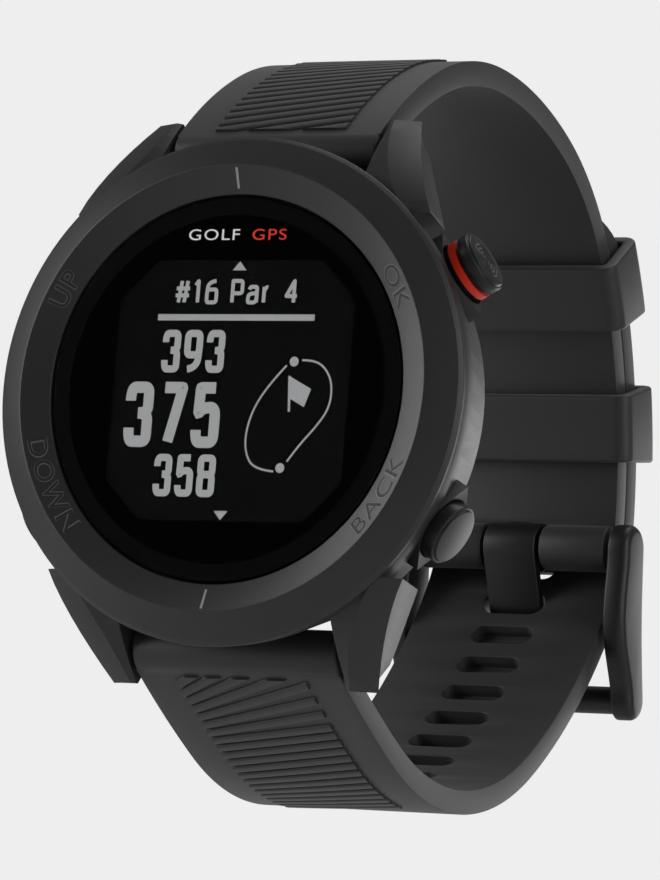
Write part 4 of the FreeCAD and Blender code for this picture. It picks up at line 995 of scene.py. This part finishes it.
# %% Ribs
BAND_HALF = 6.3
RIB_PITCH = 1.2
RIB_WIDTH, RIB_HEIGHT, RIB_ROUND, RIB_SINK = 0.92, 0.7, 0.2, 0.12
RIB_START = 0.7
STEEP, SHALLOW = math.radians(36), math.radians(13)
FAN_RIBS = 7


def ribs(loop, way, numbers, steep, name):
    """A run of slanted ribs, wrapped on to a strap half: the first ones lie steeper, by the lug."""
    whole = bmesh.new()
    for number in numbers:
        share = min(max(number, 0) / FAN_RIBS, 1)
        slant = steep * (1 - share) + SHALLOW * share
        bm = block((3.2 * BAND_HALF, RIB_WIDTH, RIB_HEIGHT))
        round_edges(bm, [edge for edge in bm.edges if span(edge, 0) > 1], RIB_ROUND, 3)
        bmesh.ops.rotate(bm, verts=bm.verts, cent=(0, 0, 0), matrix=Matrix.Rotation(slant * way, 3, "Z"))
        left_end = RIB_START + (number + 1) * RIB_PITCH
        bmesh.ops.translate(bm, verts=bm.verts, vec=(0, left_end + way * BAND_HALF * math.tan(slant),
                                                     STRAP_THICKNESS / 2 - RIB_SINK))
        for point, normal in (((-BAND_HALF, 0, 0), (-1, 0, 0)), ((BAND_HALF, 0, 0), (1, 0, 0)),
                              ((0, RIB_START, 0), (0, -1, 0))):
            cut = slice_at(bm, point, normal, clear_outer=True)
            rim = [item for item in cut["geom_cut"] if isinstance(item, bmesh.types.BMEdge)]
            if rim:
                bmesh.ops.contextual_create(bm, geom=rim)
        for place in range(-5, 6):
            slice_at(bm, (place, 0, 0), (1, 0, 0))
        whole.from_mesh(as_mesh(bm, "rib"))
    new_piece(name, wrap(whole, loop, way), silicone, "watch", 40)


ribs(UPPER_LOOP, 1, range(-3, 15), SHALLOW, "upper_strap_ribs")
ribs(LOWER_LOOP, -1, range(21), STEEP, "lower_strap_ribs")
print("ribs made")

# %% [markdown]
# The OK button's cap is turned with fine concentric rings, so that a finger finds it without looking.

# %% Rings on the OK cap
OK_ANGLE = math.radians(30)
CAP_LINE = Vector((math.cos(OK_ANGLE), 0, math.sin(OK_ANGLE)))
CAP_DEPTH = (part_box("ok_ring")[0].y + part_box("ok_ring")[1].y) / 2
RING_WIRE, RING_SIDES, RING_SINK = 0.09, 10, 0.05


def cap_ring(radius, reach):
    """One fine raised ring round the cap's axis."""
    bm = bmesh.new()
    turns = [2 * math.pi * step / RING_SIDES for step in range(RING_SIDES)]
    verts = [bm.verts.new((radius + RING_WIRE * math.cos(around), 0, RING_WIRE * math.sin(around)))
             for around in turns]
    edges = [bm.edges.new((verts[place - 1], verts[place])) for place in range(RING_SIDES)]
    bmesh.ops.spin(bm, geom=verts + edges, cent=(0, 0, 0), axis=(0, 0, 1), angle=2 * math.pi, steps=48,
                   use_merge=True)
    bmesh.ops.remove_doubles(bm, verts=bm.verts, dist=0.001)
    bmesh.ops.recalc_face_normals(bm, faces=bm.faces)
    bmesh.ops.rotate(bm, verts=bm.verts, cent=(0, 0, 0),
                     matrix=CAP_LINE.to_track_quat("Z", "Y").to_matrix())
    place = CAP_LINE * reach + Vector((0, CAP_DEPTH / MM, 0))
    for vert in bm.verts:
        vert.co = (vert.co + place) * MM
    return bm


CAP_FACE = max(vert.co.dot(CAP_LINE) for vert in nodes["ok_button"].data.vertices) / MM
for number, radius in enumerate((0.35, 0.75, 1.15, 1.55)):
    new_piece(f"ok_cap_ring_{number}", cap_ring(radius, CAP_FACE - RING_SINK), button_coat, "ok_push")
print("cap face at", round(CAP_FACE, 2))
